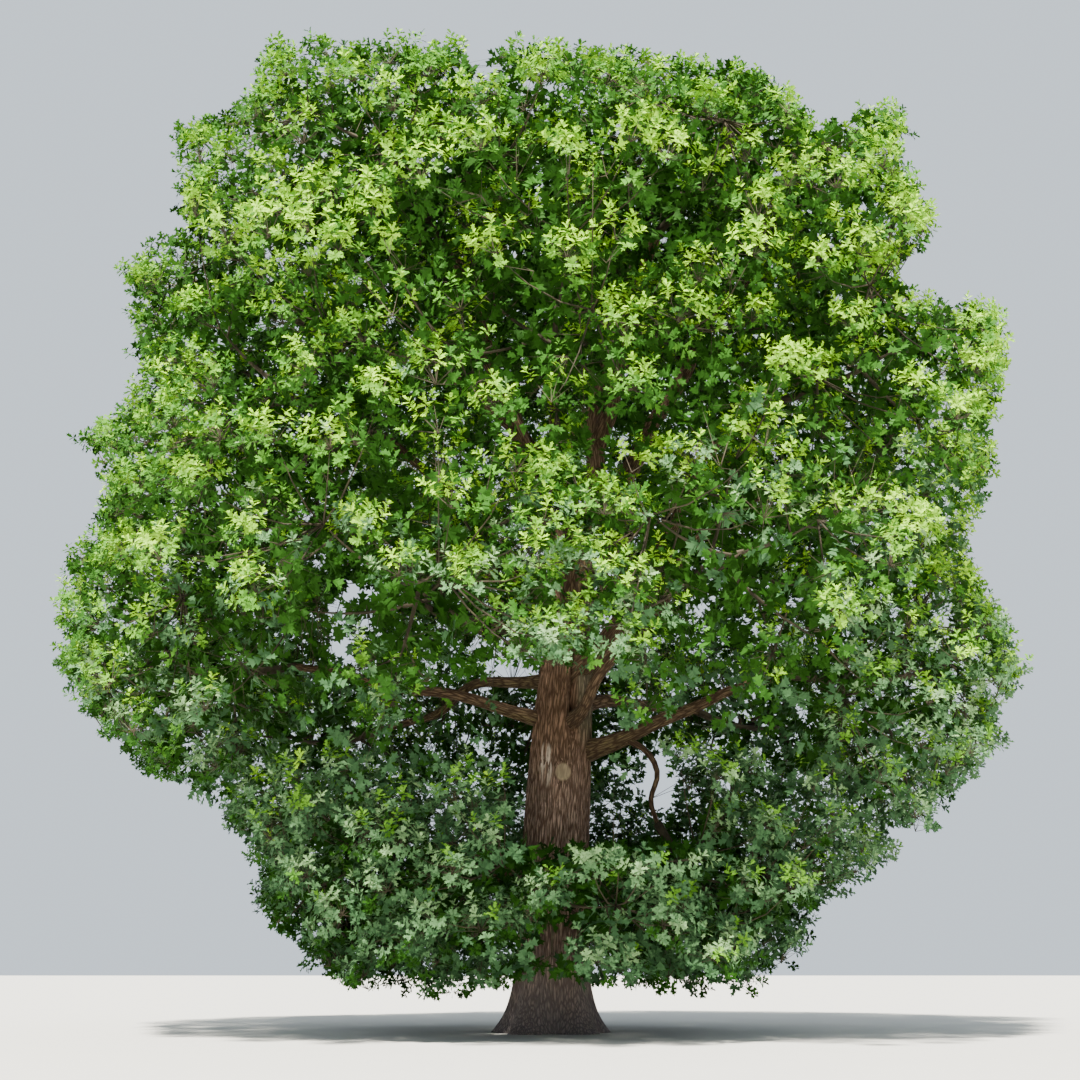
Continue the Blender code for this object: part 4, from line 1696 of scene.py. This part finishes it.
@dataclass(frozen=True)
class Daylight:
    """The painted light and shade in the green of each spray of leaves, and how blue a green it has
    by painted sky reflection.
    """

    # Painted light: weights by which sprays facing out and up, on top of their mass, on bare tufts,
    # at some heights and towards the front and right get lighter greens.
    facing: float = 0.32
    upward: float = 0.42
    shelf: float = 0.21
    bare: float = 0.32
    # Painted shade in the crown's hollows and painted light on its bulges, at the hollows' two
    # sizes.
    hollow_shade: tuple[Span, ...] = ((0.34, 0.50), (0.36, 1.25))
    by_height: tuple[Span, ...] = (
        (2.0, 0.10), (5.0, 0.30), (9.0, 0.48), (13.0, 0.38), (18.0, 0.49), (24.0, 0.24),
    )
    to_front: float = 0.03
    to_right: float = 0.20
    reach: float = 10.0
    tuft_play: float = 0.10
    spray_play: float = 0.19
    # Painted shade: the deeper inside the crown a shade spray lies, the darker its green.
    shade: Span = (0.80, 0.38)
    shade_play: float = 0.08
    # Painted shade at the crown's edge: sprays near the outline get darker greens.
    rim_gap: float = 1.1
    rim: float = 0.26
    steps: Row = (0.16, 0.40, 0.66, 0.92, 1.18)
    # Painted sky reflection: bluer greens low down and to the right.
    cool: float = 1.02
    warmer_upward: float = 1.35
    cool_to_right: float = 0.12
    cool_from: float = 2.0
    cool_height: float = 24.0
    cool_width: float = 14.0
    cool_play: float = 0.12
    cool_shade_play: float = 0.20
    cold: float = 0.58

    def on_tuft(self, middle: Array, bare: float, rng: Draws) -> float:
        """Paint light and shade on a tuft as a whole.

        Args:
            middle: Its middle.
            bare: From 0 to 1, how little other foliage lies outside it.
            rng: The mass's random numbers.

        Returns:
            Its painted light.
        """
        # Painted light and shade by height.
        raised = float(np.interp(middle[2], *zip(*self.by_height)))
        # Painted shade in the crown's hollows, painted light on its bulges.
        clump = sum(s * (0.5 - bumps(middle[None] * size)[0]) for s, size in self.hollow_shade)
        # Painted light towards the front and the right.
        side = self.to_front * np.clip(-middle[1] / self.reach, -0.5, 1.0)
        side += self.to_right * np.clip(middle[0] / self.reach, -1.0, 1.0)
        play = rng.uniform(-self.tuft_play, self.tuft_play)
        return clump + self.bare * bare + raised + side + play

    def on_sprays(self, ways: Array, facing: Array, shelf: float) -> Array:
        """Return how much painted light sprays get by their way from the tuft's middle and by its
        height in its mass.
        """
        return ways @ facing * self.facing + ways[:, 2] * self.upward + shelf * self.shelf

    def sky_reflection(self, points: Array) -> Array:
        """Return how blue the green is at points, a painted reflection of the sky: more low down
        and to the right.
        """
        up = self.cool - self.warmer_upward * (points[:, 2] - self.cool_from) / self.cool_height
        return up + self.cool_to_right * points[:, 0] / self.cool_width

    def tones(self, sprays: Sprays) -> Array:
        """Deal out the greens with their painted light, shade and sky reflection.

        Args:
            sprays: The sprays.

        Returns:
            Each spray's green, as its place in Tone.
        """
        warm = (Tone.DEEP, Tone.SHADE, Tone.LEAF, Tone.FRESH, Tone.LIME, Tone.SUNLIT)
        cold = (Tone.DEEP, Tone.BLUE_SHADE, Tone.BLUE, Tone.BLUE, Tone.BLUE_LIGHT, Tone.FRESH)
        places = np.array([[list(Tone).index(tone) for tone in row] for row in (warm, cold)])
        return places[(sprays.cool > self.cold).astype(int), np.digitize(sprays.light, self.steps)]


@dataclass(frozen=True)
class Wood:
    """A kind of twig: its radii at its start and end, its sag's share, and its rings and sides."""

    low: float
    high: float
    sag: float
    rings: int
    sides: int

    def grow(self, starts: Array, ends: Array) -> Mesh:
        """Make twigs that sag a little.

        Args:
            starts: Where each starts.
            ends: Where each ends.

        Returns:
            Their points and triangles.
        """
        t = np.linspace(0, 1, self.rings)[None, :, None]
        span = norm(ends - starts, axis=1)[:, None, None]
        lines = starts[:, None] + (ends - starts)[:, None] * t
        lines = lines - UP_ROW * np.sin(math.pi * t) * span * self.sag
        radii = np.repeat(np.linspace(self.low, self.high, self.rings)[None], len(ends), axis=0)
        return tubes(lines, radii, self.sides)


@dataclass(frozen=True)
class Room:
    """Where foliage may stand: the share of the way to the masses' edge, and its least gaps."""

    share: float
    outline: float
    wall: float
    limb: float


@dataclass
class Foliage:
    """The twigs, tufts and leaf sprays of the whole crown."""

    crown: Crown
    rule: BranchingRule
    box: Line
    box_gap: float = 0.35
    lowest: float = 0.75
    outline: Outline = Outline()
    opening: Opening = Opening()
    clearings: tuple[Clearing, ...] = CLEARINGS
    swellings: tuple[Swelling, ...] = SWELLINGS
    daylight: Daylight = Daylight()
    merge_power: float = 4.0
    hollows: tuple[Span, ...] = ((0.24, 0.50), (0.17, 1.25))
    outline_play: float = 0.66
    heart_line: Triple = (0.3, 5.0, 16.0)
    crest_top: float = 27.4
    crest_falls: tuple[Triple, ...] = ((3.4, 0.0, 11.0), (5.0, 4.0, 15.0))
    crest_play: Span = (1.4, 0.6)
    tuft_room: Room = Room(1.06, 0.18, 0.12, 0.55)
    branchlet_tufts: Row = (0.38, 0.80)
    tuft_lift: float = 0.12
    spacing: float = 1.18
    candidates: int = 8000
    wider: float = 1.3
    most_tufts: tuple[tuple[str, int], ...] = (
        ("top", 60), ("upper", 68), ("middle", 70), ("lower", 78), ("skirt", 54),
    )
    depth_share: float = 0.8
    depths: Span = (-1.0, 0.75)
    rank_play: float = 0.12
    veil: float = 4.0
    veiled: tuple[float, float, float, float] = (-1.6, 2.4, 10.4, 16.0)
    veil_front: float = -2.0
    pulls: Row = (1.0, 0.92, 0.84, 0.76, 0.68, 0.60)
    shortest_pull: float = 0.40
    twig_gap: float = 0.5
    bone_places: tuple[float, float, int] = (0.25, 1.0, 7)
    bone_step: float = 0.5
    limb_step: float = 0.25
    limb_reach: float = 1.0
    tuft_facing: Triple = (0.75, 0.35, 0.75)
    tuft_radius: Span = (0.66, 0.98)
    tuft_flatness: float = 0.66
    tuft_spread: float = 1.28
    tuft_root: float = 0.30
    tuft_foot: float = 0.25
    over: Triple = (0.6, 3.2, 3.0)
    sprays: int = 16
    inner_sprays: int = 7
    spray_reach: Span = (0.72, 1.12)
    spray_noise: float = 0.16
    spray_axis: tuple[float, float, float, float] = (0.62, 0.35, 0.42, 0.18)
    spray_play: float = 0.60
    ragged: Span = (2.6, 1.9)
    twig_play: float = 0.30
    course_tests: Row = (0.0, 0.3, 0.6)
    shade_room: Room = Room(1.02, 0.28, 0.0, 0.45)
    shade_sprays: int = 470
    shade_spacing: float = 0.62
    shade_axis: Span = (0.5, 0.4)
    shade_sizes: Span = (1.52, 0.96)
    shade_bone: float = 0.6
    leaves: int = 10
    shade_leaves: int = 6
    leaf_spread: float = 0.24
    leaf_noise: Triple = (0.17, 0.15, 0.22)
    leaf_growth: Span = (0.72, 0.36)
    leaf_variety: Span = (0.82, 1.15)
    splay: Span = (math.radians(36), math.radians(98))
    droop: float = 0.22
    stem: Wood = Wood(0.128, 0.050, 0.06, 7, 9)
    twig: Wood = Wood(0.062, 0.016, 0.06, 7, 6)
    tuft_twig: Wood = Wood(0.030, 0.010, 0.10, 4, 3)
    twiglet_radius: float = 0.010
    growths: list[Growth] = field(default_factory=list)
    limbs: Array = field(default_factory=lambda: np.zeros((0, 4)))

    def grow_rule(self) -> None:
        """Grow every mass by the source's rule, and read points and radii along all limbs."""
        self.growths = [self.rule.grow(self.crown, mass) for mass in self.crown.masses]
        smooth = [limb.smooth(self.limb_step) for limb in self.crown.limbs.values()]
        self.limbs = np.concatenate([np.column_stack(pair) for pair in smooth])

    def outward(self, points: Array) -> Array:
        """Find the way out of the crown: level low down, and upward at the top.

        Args:
            points: Points of the crown, one to a row.

        Returns:
            The way out at each.
        """
        x, low, high = self.heart_line
        inner = np.zeros_like(points)
        inner[:, 0] = x
        inner[:, 2] = np.clip(points[:, 2], low, high)
        return unit(points - inner)

    def skeleton(self, growth: Growth) -> Array:
        """Read the wood of a mass, from which twigs may leave.

        Args:
            growth: What the rule grew in the mass.

        Returns:
            Points along its stem, its twigs and the end of its bough.
        """
        places = np.linspace(*self.bone_places)[:, None]
        lines = [growth.stem, *growth.twigs]
        made = [np.array(a) + (np.array(b) - np.array(a)) * places for a, b in lines]
        path, _ = self.crown.limbs[bough_name(growth.mass.name)].smooth(self.bone_step)
        return np.concatenate([*made, path[len(path) * 2 // 3 :]])

    def place_tufts(self, growth: Growth, rng: Draws) -> Tufts:
        """Place the tufts of one mass: along the branchlets, then in what is left of its space.

        Args:
            growth: What the rule grew in the mass.
            rng: Random numbers.

        Returns:
            The tufts.
        """
        mass = growth.mass
        heart = np.array(mass.heart)
        leaves = [(leaf, place) for leaf in growth.leaves for place in self.branchlet_tufts]
        middles = np.array([leaf.middle(t) + leaf.normal * self.tuft_lift for leaf, t in leaves])
        pulled = middles
        for pull in self.pulls[::-1]:
            nearer = heart + (middles - heart) * pull
            fits = self.in_crown(nearer, self.tuft_room)
            pulled = np.where(fits[:, None], nearer, pulled)
        spots = self.spots(mass, self.tuft_room, rng)
        out = self.outward(spots)
        depth = np.einsum("ij,ij->i", spots - heart, out) / min(mass.tier.semi)
        rank = self.merged(spots) + self.depth_share * np.clip(depth, *self.depths)
        rank = rank + rng.uniform(0, self.rank_play, len(spots))
        order = np.argsort(-rank - self.veil * self.before_trunk(spots))
        spots, out = spots[order], out[order]
        bones = self.skeleton(growth)
        most = dict(self.most_tufts)[mass.tier.name]
        more = spread_out(spots, pulled, self.spacing, most)
        middles = np.concatenate([pulled, spots[more]])
        normals = np.concatenate([np.array([leaf.normal for leaf, _ in leaves]), out[more]])
        roots = np.array([leaf.root for leaf, _ in leaves])
        roots = np.concatenate([roots, nearest(bones, spots[more])])
        sound = self.course_clear(roots, middles, self.twig_play)
        middles, normals, roots = middles[sound], normals[sound], roots[sound]
        by_place, by_branchlet, upward = self.tuft_facing
        facings = self.outward(middles) * by_place + normals * by_branchlet + UP_ROW * upward
        shade = self.spots(mass, self.shade_room, rng)
        shade = shade[spread_out(shade, shade[:0], self.shade_spacing, self.shade_sprays)]
        bones = np.concatenate([bones, roots + (middles - roots) * self.shade_bone])
        return Tufts(middles, unit(facings), roots, shade, nearest(bones, shade))

    def merged(self, points: Array) -> Array:
        """Return the share of the way to the edge of the masses merged into one, at each point."""
        shares = np.stack([mass.share(points) for mass in self.crown.masses])
        return (shares**-self.merge_power).sum(axis=0) ** (-1 / self.merge_power)

    def before_trunk(self, points: Array) -> Array:
        """Tell which points veil the upper trunk, as leaves do above its opening.

        Args:
            points: The points.

        Returns:
            A truth value for each.
        """
        x, z = seen_at(points)
        left, right, low, high = self.veiled
        before = (x > left) & (x < right) & (z > low) & (z < high)
        return before & (points[:, 1] < self.veil_front)

    def in_crown(self, points: Array, room: Room) -> Array:
        """Tell which points lie in the masses, which merge into one crown.

        Args:
            points: The points.
            room: Where foliage may stand.

        Returns:
            A truth value for each.
        """
        hollows = sum(share * bumps(points * size) for share, size in self.hollows)
        swollen = sum(swelling.at(points) for swelling in self.swellings)
        inside = self.merged(points) < room.share - hollows + swollen
        inside &= points[:, 2] < self.crest(points)
        return inside & self.outline.holds(points, room.outline + self.outline_play * bumps(points))

    def within(self, points: Array, margin: float) -> Array:
        """Tell which points lie inside the outline and under the crest with room to spare."""
        return self.outline.holds(points, margin) & (points[:, 2] < self.crest(points) - margin)

    def crest(self, points: Array) -> Array:
        """Cap the crown with a top that falls away to the sides and to the back.

        Args:
            points: Points of the crown, one to a row.

        Returns:
            How high it may rise at each.
        """
        x, y, _ = points.T
        (sides, _, half_width), (back, front, depth) = self.crest_falls
        fall = sides * (x / half_width) ** 2
        fall = fall + back * (np.clip(y + front, 0.0, None) / depth) ** 2
        play, size = self.crest_play
        return self.crest_top - fall + play * (bumps(points * size) - 0.5)

    def spots(self, mass: Mass, room: Room, rng: Draws) -> Array:
        """Scatter spots evenly in a mass's own space, clear of the limbs.

        Args:
            mass: The mass.
            room: Where foliage may stand.
            rng: Random numbers.

        Returns:
            The spots, one to a row.
        """
        ball = unit(rng.normal(size=(self.candidates, 3)))
        ball *= rng.uniform(0, 1, (self.candidates, 1)) ** (1 / 3)
        ball *= np.array(mass.tier.semi) * self.wider
        heart = np.array(mass.heart)
        spots = heart + ball[:, :1] * np.array(mass.outward)
        spots = spots + ball[:, 1:2] * np.array(mass.sideways) + ball[:, 2:] * UP_ROW
        spots = spots[mass.holds(spots, self.wider, room.wall)]
        spots = spots[self.in_crown(spots, room)]
        far = norm(self.limbs[:, :3] - heart, axis=1)
        close = self.limbs[far < max(mass.tier.semi) + self.limb_reach]
        if len(close):
            gaps = norm(spots[:, None] - close[None, :, :3], axis=2) - close[None, :, 3]
            spots = spots[gaps.min(axis=1) > room.limb]
        return spots

    def shaded_sprays(self, tufts: Tufts, rng: Draws) -> Sprays:
        """Place the single sprays in the shade of one mass.

        Args:
            tufts: The mass's tufts and spots in the shade.
            rng: Random numbers.

        Returns:
            The sprays.
        """
        day, count = self.daylight, len(tufts.shade)
        upward, play = self.shade_axis
        axes = unit(tufts.shade - tufts.shade_roots) + UP_ROW * upward
        axes = unit(axes + rng.normal(0, play, (count, 3)))
        merged = self.merged(tufts.shade)
        # Painted shade: darker greens deeper inside.
        light = day.shade[0] * merged - day.shade[1] + rng.normal(0, day.shade_play, count)
        # Painted sky reflection.
        cool = day.sky_reflection(tufts.shade)
        cool = cool + rng.uniform(-day.cool_shade_play, day.cool_shade_play, count)
        size = self.shade_sizes[0] - self.shade_sizes[1] * merged
        return self.cleared(Sprays(tufts.shade, axes, tufts.shade_roots, light, cool, size))

    def cleared(self, sprays: Sprays) -> Sprays:
        """Leave out the sprays that would fill a clearing or pass the crown's ragged edge.

        Args:
            sprays: The sprays.

        Returns:
            Those that stay.
        """
        low, high = (np.array(corner) for corner in self.box)
        tips = sprays.tips
        keep = (tips > low - self.box_gap).all(axis=1) & (tips < high + self.box_gap).all(axis=1)
        share, size = self.ragged
        play = self.spray_play * (1 - share * bumps(tips * size))
        keep &= ~self.opening.holds(tips) & (tips[:, 2] > self.lowest)
        keep &= tips[:, 2] < self.crest(tips) + self.box_gap
        return sprays.kept(keep & self.course_clear(sprays.roots, tips, play))

    def course_clear(self, roots: Array, tips: Array, play: float | Array) -> Array:
        """Tell which twigs stay inside the outline, and out of every clearing, from root to tip.

        Args:
            roots: The twigs' roots.
            tips: Their tips.
            play: How far each may reach beyond the outline.

        Returns:
            A truth value for each.
        """
        keep = np.ones(len(tips), bool)
        for share in self.course_tests:
            places = tips + (roots - tips) * share
            keep &= self.outline.holds(places, -play)
            for clearing in self.clearings:
                keep &= ~clearing.holds(places)
        return keep

    def exposure(self, middles: Array) -> Array:
        """Measure how little other foliage lies outside each tuft.

        Args:
            middles: The middles of all tufts.

        Returns:
            From 0 to 1 for each.
        """
        out = self.outward(middles)
        off = middles[None] - middles[:, None]
        far = norm(off, axis=2)
        slope, reach, many = self.over
        ahead = np.einsum("ijk,ik->ij", off, out) > slope * far
        over = (ahead & (far > 0) & (far < reach)).sum(axis=1)
        return np.exp(-over / many)

    def place_sprays(self, mass: Mass, tufts: Tufts, exposure: Array, rng: Draws) -> Sprays:
        """Place the leaf sprays over the domes of the tufts.

        Args:
            mass: The mass.
            tufts: Its tufts.
            exposure: How exposed each is.
            rng: Random numbers.

        Returns:
            The sprays.
        """
        tips, axes, roots, lights, cools = [], [], [], [], []
        day = self.daylight
        outward, along_facing, upward, noise = self.spray_axis
        for middle, facing, bare in zip(tufts.middles, tufts.facings, exposure):
            count = round(self.inner_sprays + (self.sprays - self.inner_sprays) * float(bare))
            index = np.arange(count) + 0.5
            along = 1 - self.tuft_spread * index / count
            across = np.sqrt(1 - along**2)
            spin = index * GOLDEN_ANGLE + rng.uniform(0, TURN)
            first, second = square_to(facing[None])
            ways = facing * along[:, None] + first * (across * np.cos(spin))[:, None]
            ways = ways + second * (across * np.sin(spin))[:, None]
            ways = unit(ways + rng.normal(0, self.spray_noise, (count, 3)))
            radius = rng.uniform(*self.tuft_radius)
            flat = 1 - (1 - self.tuft_flatness) * np.abs(ways @ facing)
            reach = radius * flat * rng.uniform(*self.spray_reach, count)
            tips.append(middle + ways * reach[:, None])
            axis = ways * outward + facing * along_facing + UP_ROW * upward
            axes.append(unit(axis + rng.normal(0, noise, (count, 3))))
            root = middle - facing * radius * self.tuft_root
            roots.append(np.repeat(root[None], count, axis=0))
            # Painted light: lighter greens on top of the mass, on the tuft's upper and outer side
            # and on bare tufts.
            shelf = (middle[2] - mass.heart.z) / mass.tier.semi[2]
            light = day.on_sprays(ways, facing, shelf) + day.on_tuft(middle, bare, rng)
            lights.append(light + rng.normal(0, day.spray_play, count))
            # Painted sky reflection.
            cool = day.sky_reflection(middle[None])[0] + rng.uniform(-day.cool_play, day.cool_play)
            cools.append(cool + rng.normal(0, day.cool_play, count))
        tips, axes, roots, light, cool = map(np.concatenate, (tips, axes, roots, lights, cools))
        # Painted shade near the crown's edge.
        light -= day.rim * ~self.outline.holds(tips, day.rim_gap)
        return self.cleared(Sprays(tips, axes, roots, light, cool, np.ones(len(light))))

    def leaf_cloud(self, sprays: Sprays, leaf: LeafShape, each: int, rng: Draws) -> Mesh:
        """Make the leaves of all sprays.

        Args:
            sprays: The sprays.
            leaf: The leaf's shape.
            each: The leaves of each spray.
            rng: Random numbers.

        Returns:
            The leaves' points and triangles.
        """
        count = len(sprays.tips)
        order = np.arange(each) / (each - 1)
        splay_noise, spin_noise, tilt_noise = self.leaf_noise
        splay = self.splay[0] + (self.splay[1] - self.splay[0]) * order
        splay = splay + rng.normal(0, splay_noise, (count, each))
        spin = np.arange(each) * GOLDEN_ANGLE + rng.uniform(0, TURN, (count, 1))
        spin = spin + rng.normal(0, spin_noise, (count, each))
        first, second = square_to(sprays.axes)
        spoke = round_about(first[:, None], second[:, None], spin)
        axis = sprays.axes[:, None]
        along = round_about(axis, spoke, splay)
        along = unit(along - UP_ROW * (self.droop * order)[:, None])
        normal = axis * np.sin(splay)[..., None] - spoke * np.cos(splay)[..., None]
        normal = normal + rng.normal(0, tilt_noise, normal.shape)
        normal = unit(normal - along * np.sum(normal * along, axis=-1, keepdims=True))
        side = np.cross(normal, along)
        length = leaf.length * sprays.size[:, None]
        length = length * (self.leaf_growth[0] + self.leaf_growth[1] * order)
        length = length * rng.uniform(*self.leaf_variety, (count, each))
        back = unit(sprays.roots - sprays.tips)[:, None] * (self.leaf_spread * order)[:, None]
        base = sprays.tips[:, None] + back
        shape = leaf.points()
        ways = enumerate((along, side, normal))
        cloud = sum(way[:, :, None] * shape[:, i : i + 1] for i, way in ways)
        points = base[:, :, None] + cloud * length[..., None, None]
        steps = (np.arange(count * each) * len(shape))[:, None, None]
        return points.reshape(-1, 3), (leaf.faces()[None] + steps).reshape(-1, 3)

    def twigs(self, growth: Growth, tufts: Tufts, sprays: Sprays, shaded: Sprays) -> Mesh:
        """Make the stem, twigs, tuft twigs and twiglets of one mass.

        Args:
            growth: What the rule grew in the mass.
            tufts: Its tufts.
            sprays: Its sprays.
            shaded: Its single sprays in the shade.

        Returns:
            Their points and triangles.
        """
        made = []
        for wood, line in [(self.stem, growth.stem)] + [(self.twig, twig) for twig in growth.twigs]:
            start, end = (np.array(point)[None] for point in line)
            way = end - start
            fits = [t for t in self.pulls if self.within(start + way * t, self.twig_gap)[0]]
            made.append(wood.grow(start, start + way * (*fits, self.shortest_pull)[0]))
        gaps = norm(tufts.middles[:, None] - sprays.tips[None], axis=2)
        leafy = gaps.min(axis=1) < self.tuft_radius[1]
        ends = tufts.middles[leafy] - tufts.facings[leafy] * self.tuft_foot
        made.append(self.tuft_twig.grow(tufts.roots[leafy], ends))
        starts = np.concatenate([sprays.roots, shaded.roots])
        lines = np.stack([starts, np.concatenate([sprays.tips, shaded.tips])], axis=1)
        radii = np.full((len(lines), 2), self.twiglet_radius)
        made.append(tubes(lines, radii, self.tuft_twig.sides))
        return gathered(made)


@dataclass
class Leafage:
    """The foliage's pieces: the leaves and the twigs of a tier, some tiers in two halves."""

    foliage: Foliage
    twig_finish: Material
    leaf_finishes: list[Material]
    halves: tuple[str, ...] = ("middle", "lower", "upper")

    def build(self) -> list[Piece]:
        """Return every piece, dressed and riding on its body."""
        foliage = self.foliage
        foliage.grow_rule()
        tufts = []
        for n, growth in enumerate(foliage.growths):
            rng = np.random.default_rng((SEED, n, 1))
            tufts.append(foliage.place_tufts(growth, rng))
        bare = foliage.exposure(np.concatenate([t.middles for t in tufts]))
        cuts = np.cumsum([len(t.middles) for t in tufts])[:-1]
        LOG.info("%d tufts", len(bare))
        made = []
        for tier in TIERS:
            parts = 2 if tier.name in self.halves else 1
            chosen = [n for n, growth in enumerate(foliage.growths) if growth.mass.tier is tier]
            for part in range(parts):
                some = chosen[part * len(chosen) // parts : (part + 1) * len(chosen) // parts]
                label = tier.name if parts == 1 else f"{tier.name}_{'ab'[part]}"
                made += self.pieces(label, some, tufts, np.split(bare, cuts))
        return made

    def pieces(self, label: str, some: list[int], tufts: list[Tufts],
               bare: list[Array]) -> list[Piece]:
        """Make the leaves and the twigs of some masses as two pieces.

        Args:
            label: The pieces' label.
            some: The masses, by number.
            tufts: The tufts of every mass.
            bare: The exposure of every mass's tufts.

        Returns:
            The two pieces.
        """
        foliage = self.foliage
        clouds, twigs, tones = [], [], []
        for n in some:
            rng = np.random.default_rng((SEED, n, 2))
            sprays = foliage.place_sprays(foliage.growths[n].mass, tufts[n], bare[n], rng)
            shaded = foliage.shaded_sprays(tufts[n], rng)
            kinds = (
                (sprays, SUN_LEAF, foliage.leaves), (shaded, SHADE_LEAF, foliage.shade_leaves),
            )
            for kind, leaf, each in kinds:
                clouds.append(foliage.leaf_cloud(kind, leaf, each, rng))
                tones.append(np.repeat(foliage.daylight.tones(kind), each * len(leaf.faces())))
            twigs.append(foliage.twigs(foliage.growths[n], tufts[n], sprays, shaded))
        nodes = [f"foliage_{foliage.growths[n].mass.name}" for n in some]
        leaves = mesh_object(f"leaves_{label}", *gathered(clouds), False)
        for finish in self.leaf_finishes:
            leaves.data.materials.append(finish)
        leaves.data.polygons.foreach_set("material_index", np.concatenate(tones).astype(np.int32))
        wood = mesh_object(f"twigs_{label}", *gathered(twigs), True)
        wood.data.materials.append(self.twig_finish)
        return [stand_for(leaves, nodes), stand_for(wood, nodes)]


def stand_for(piece: Piece, nodes: list[str]) -> Piece:
    """Let a piece ride on the root body in place of some nodes.

    Args:
        piece: The piece.
        nodes: The nodes it stands for.

    Returns:
        The piece.
    """
    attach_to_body(piece, "root")
    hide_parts(*nodes)
    LOG.info("%s: %d triangles for %s", piece.name, len(piece.data.polygons), ", ".join(nodes))
    return piece


# The studio


@dataclass(frozen=True)
class Studio:
    """A pale floor, soft light and the camera, which stands at eye height and looks up."""

    floor_size: float = 900.0
    sky: Triple = (0.80, 0.90, 1.0)
    sky_strength: float = 1.1
    sun_strength: float = 21.0
    sun_softness: float = math.radians(4)
    sun_from: Triple = (-0.14, -0.50, 0.85)
    sun_colour: Triple = (1.0, 0.96, 0.86)
    camera_at: Triple = EYE
    camera_tilt: float = math.radians(14.6)
    lens: float = 55.0
    sensor: float = 36.0

    def build_camera(self) -> None:
        """Place the camera."""
        data = bpy.data.cameras.new("camera")
        data.lens = self.lens
        data.sensor_width = self.sensor
        data.clip_end = self.floor_size * 2
        camera = linked("camera", data)
        camera.location = self.camera_at
        camera.rotation_euler = (math.pi / 2 + self.camera_tilt, 0.0, 0.0)
        bpy.context.scene.camera = camera

    def build_light(self) -> None:
        """Place the sun and light the sky."""
        data = bpy.data.lights.new("sun", "SUN")
        data.energy = self.sun_strength
        data.angle = self.sun_softness
        data.color = self.sun_colour
        sun = linked("sun", data)
        sun.rotation_euler = Vector(self.sun_from).to_track_quat("Z", "Y").to_euler()
        world = bpy.data.worlds.new("soft_sky")
        world.use_nodes = True
        background = world.node_tree.nodes["Background"]
        background.inputs["Color"].default_value = opaque(self.sky)
        background.inputs["Strength"].default_value = self.sky_strength
        bpy.context.scene.world = world

    def build_floor(self) -> None:
        """Lay the floor."""
        half = self.floor_size / 2
        corners = [(-half, -half, 0.0), (half, -half, 0.0), (half, half, 0.0), (-half, half, 0.0)]
        floor = mesh_object("floor", np.array(corners), np.array([(0, 1, 2), (0, 2, 3)]), False)
        floor.data.materials.append(FloorFinish().dress())


def main() -> None:
    """Dress the tree."""
    logging.basicConfig(level=logging.INFO, format="%(name)s: %(message)s")
    crown = Crown(Trunk())
    trunk_finish = TrunkFinish(
        "trunk_bark", ridge=(0.605, 0.412, 0.314), furrow=(0.085, 0.047, 0.031),
        tint=(0.640, 0.460, 0.360), tint_share=0.7, plates=14.0,
        surface=Surface(0.95, 0.13, 0.030, 0.25),
    )
    bark = TrunkBark(crown.trunk, trunk_finish).build()
    bark.data.materials.append(trunk_finish.dress())
    stand_for(bark, ["trunk"])
    bough_finish = BarkFinish(
        "bough_bark", ridge=(0.200, 0.130, 0.075), furrow=(0.038, 0.022, 0.013),
        tint=(0.165, 0.140, 0.050), tint_share=0.8, plates=15.0,
        surface=Surface(0.96, 0.14, 0.012, 0.25),
    ).dress()
    boughs = BoughBark(crown)
    for tier in TIERS:
        piece = boughs.build(tier)
        piece.data.materials.append(bough_finish)
        stand_for(piece, [bough_name(label) for label in tier.labels()])
    twig_finish = TwigFinish("twig_bark", (0.032, 0.026, 0.015), (0.066, 0.054, 0.032)).dress()
    leaf_finishes = [LeafFinish(tone).dress() for tone in Tone]
    Leafage(Foliage(crown, BranchingRule(), solids_box), twig_finish, leaf_finishes).build()
    studio = Studio()
    studio.build_floor()
    studio.build_light()
    studio.build_camera()


if __name__ == "__main__":
    main()
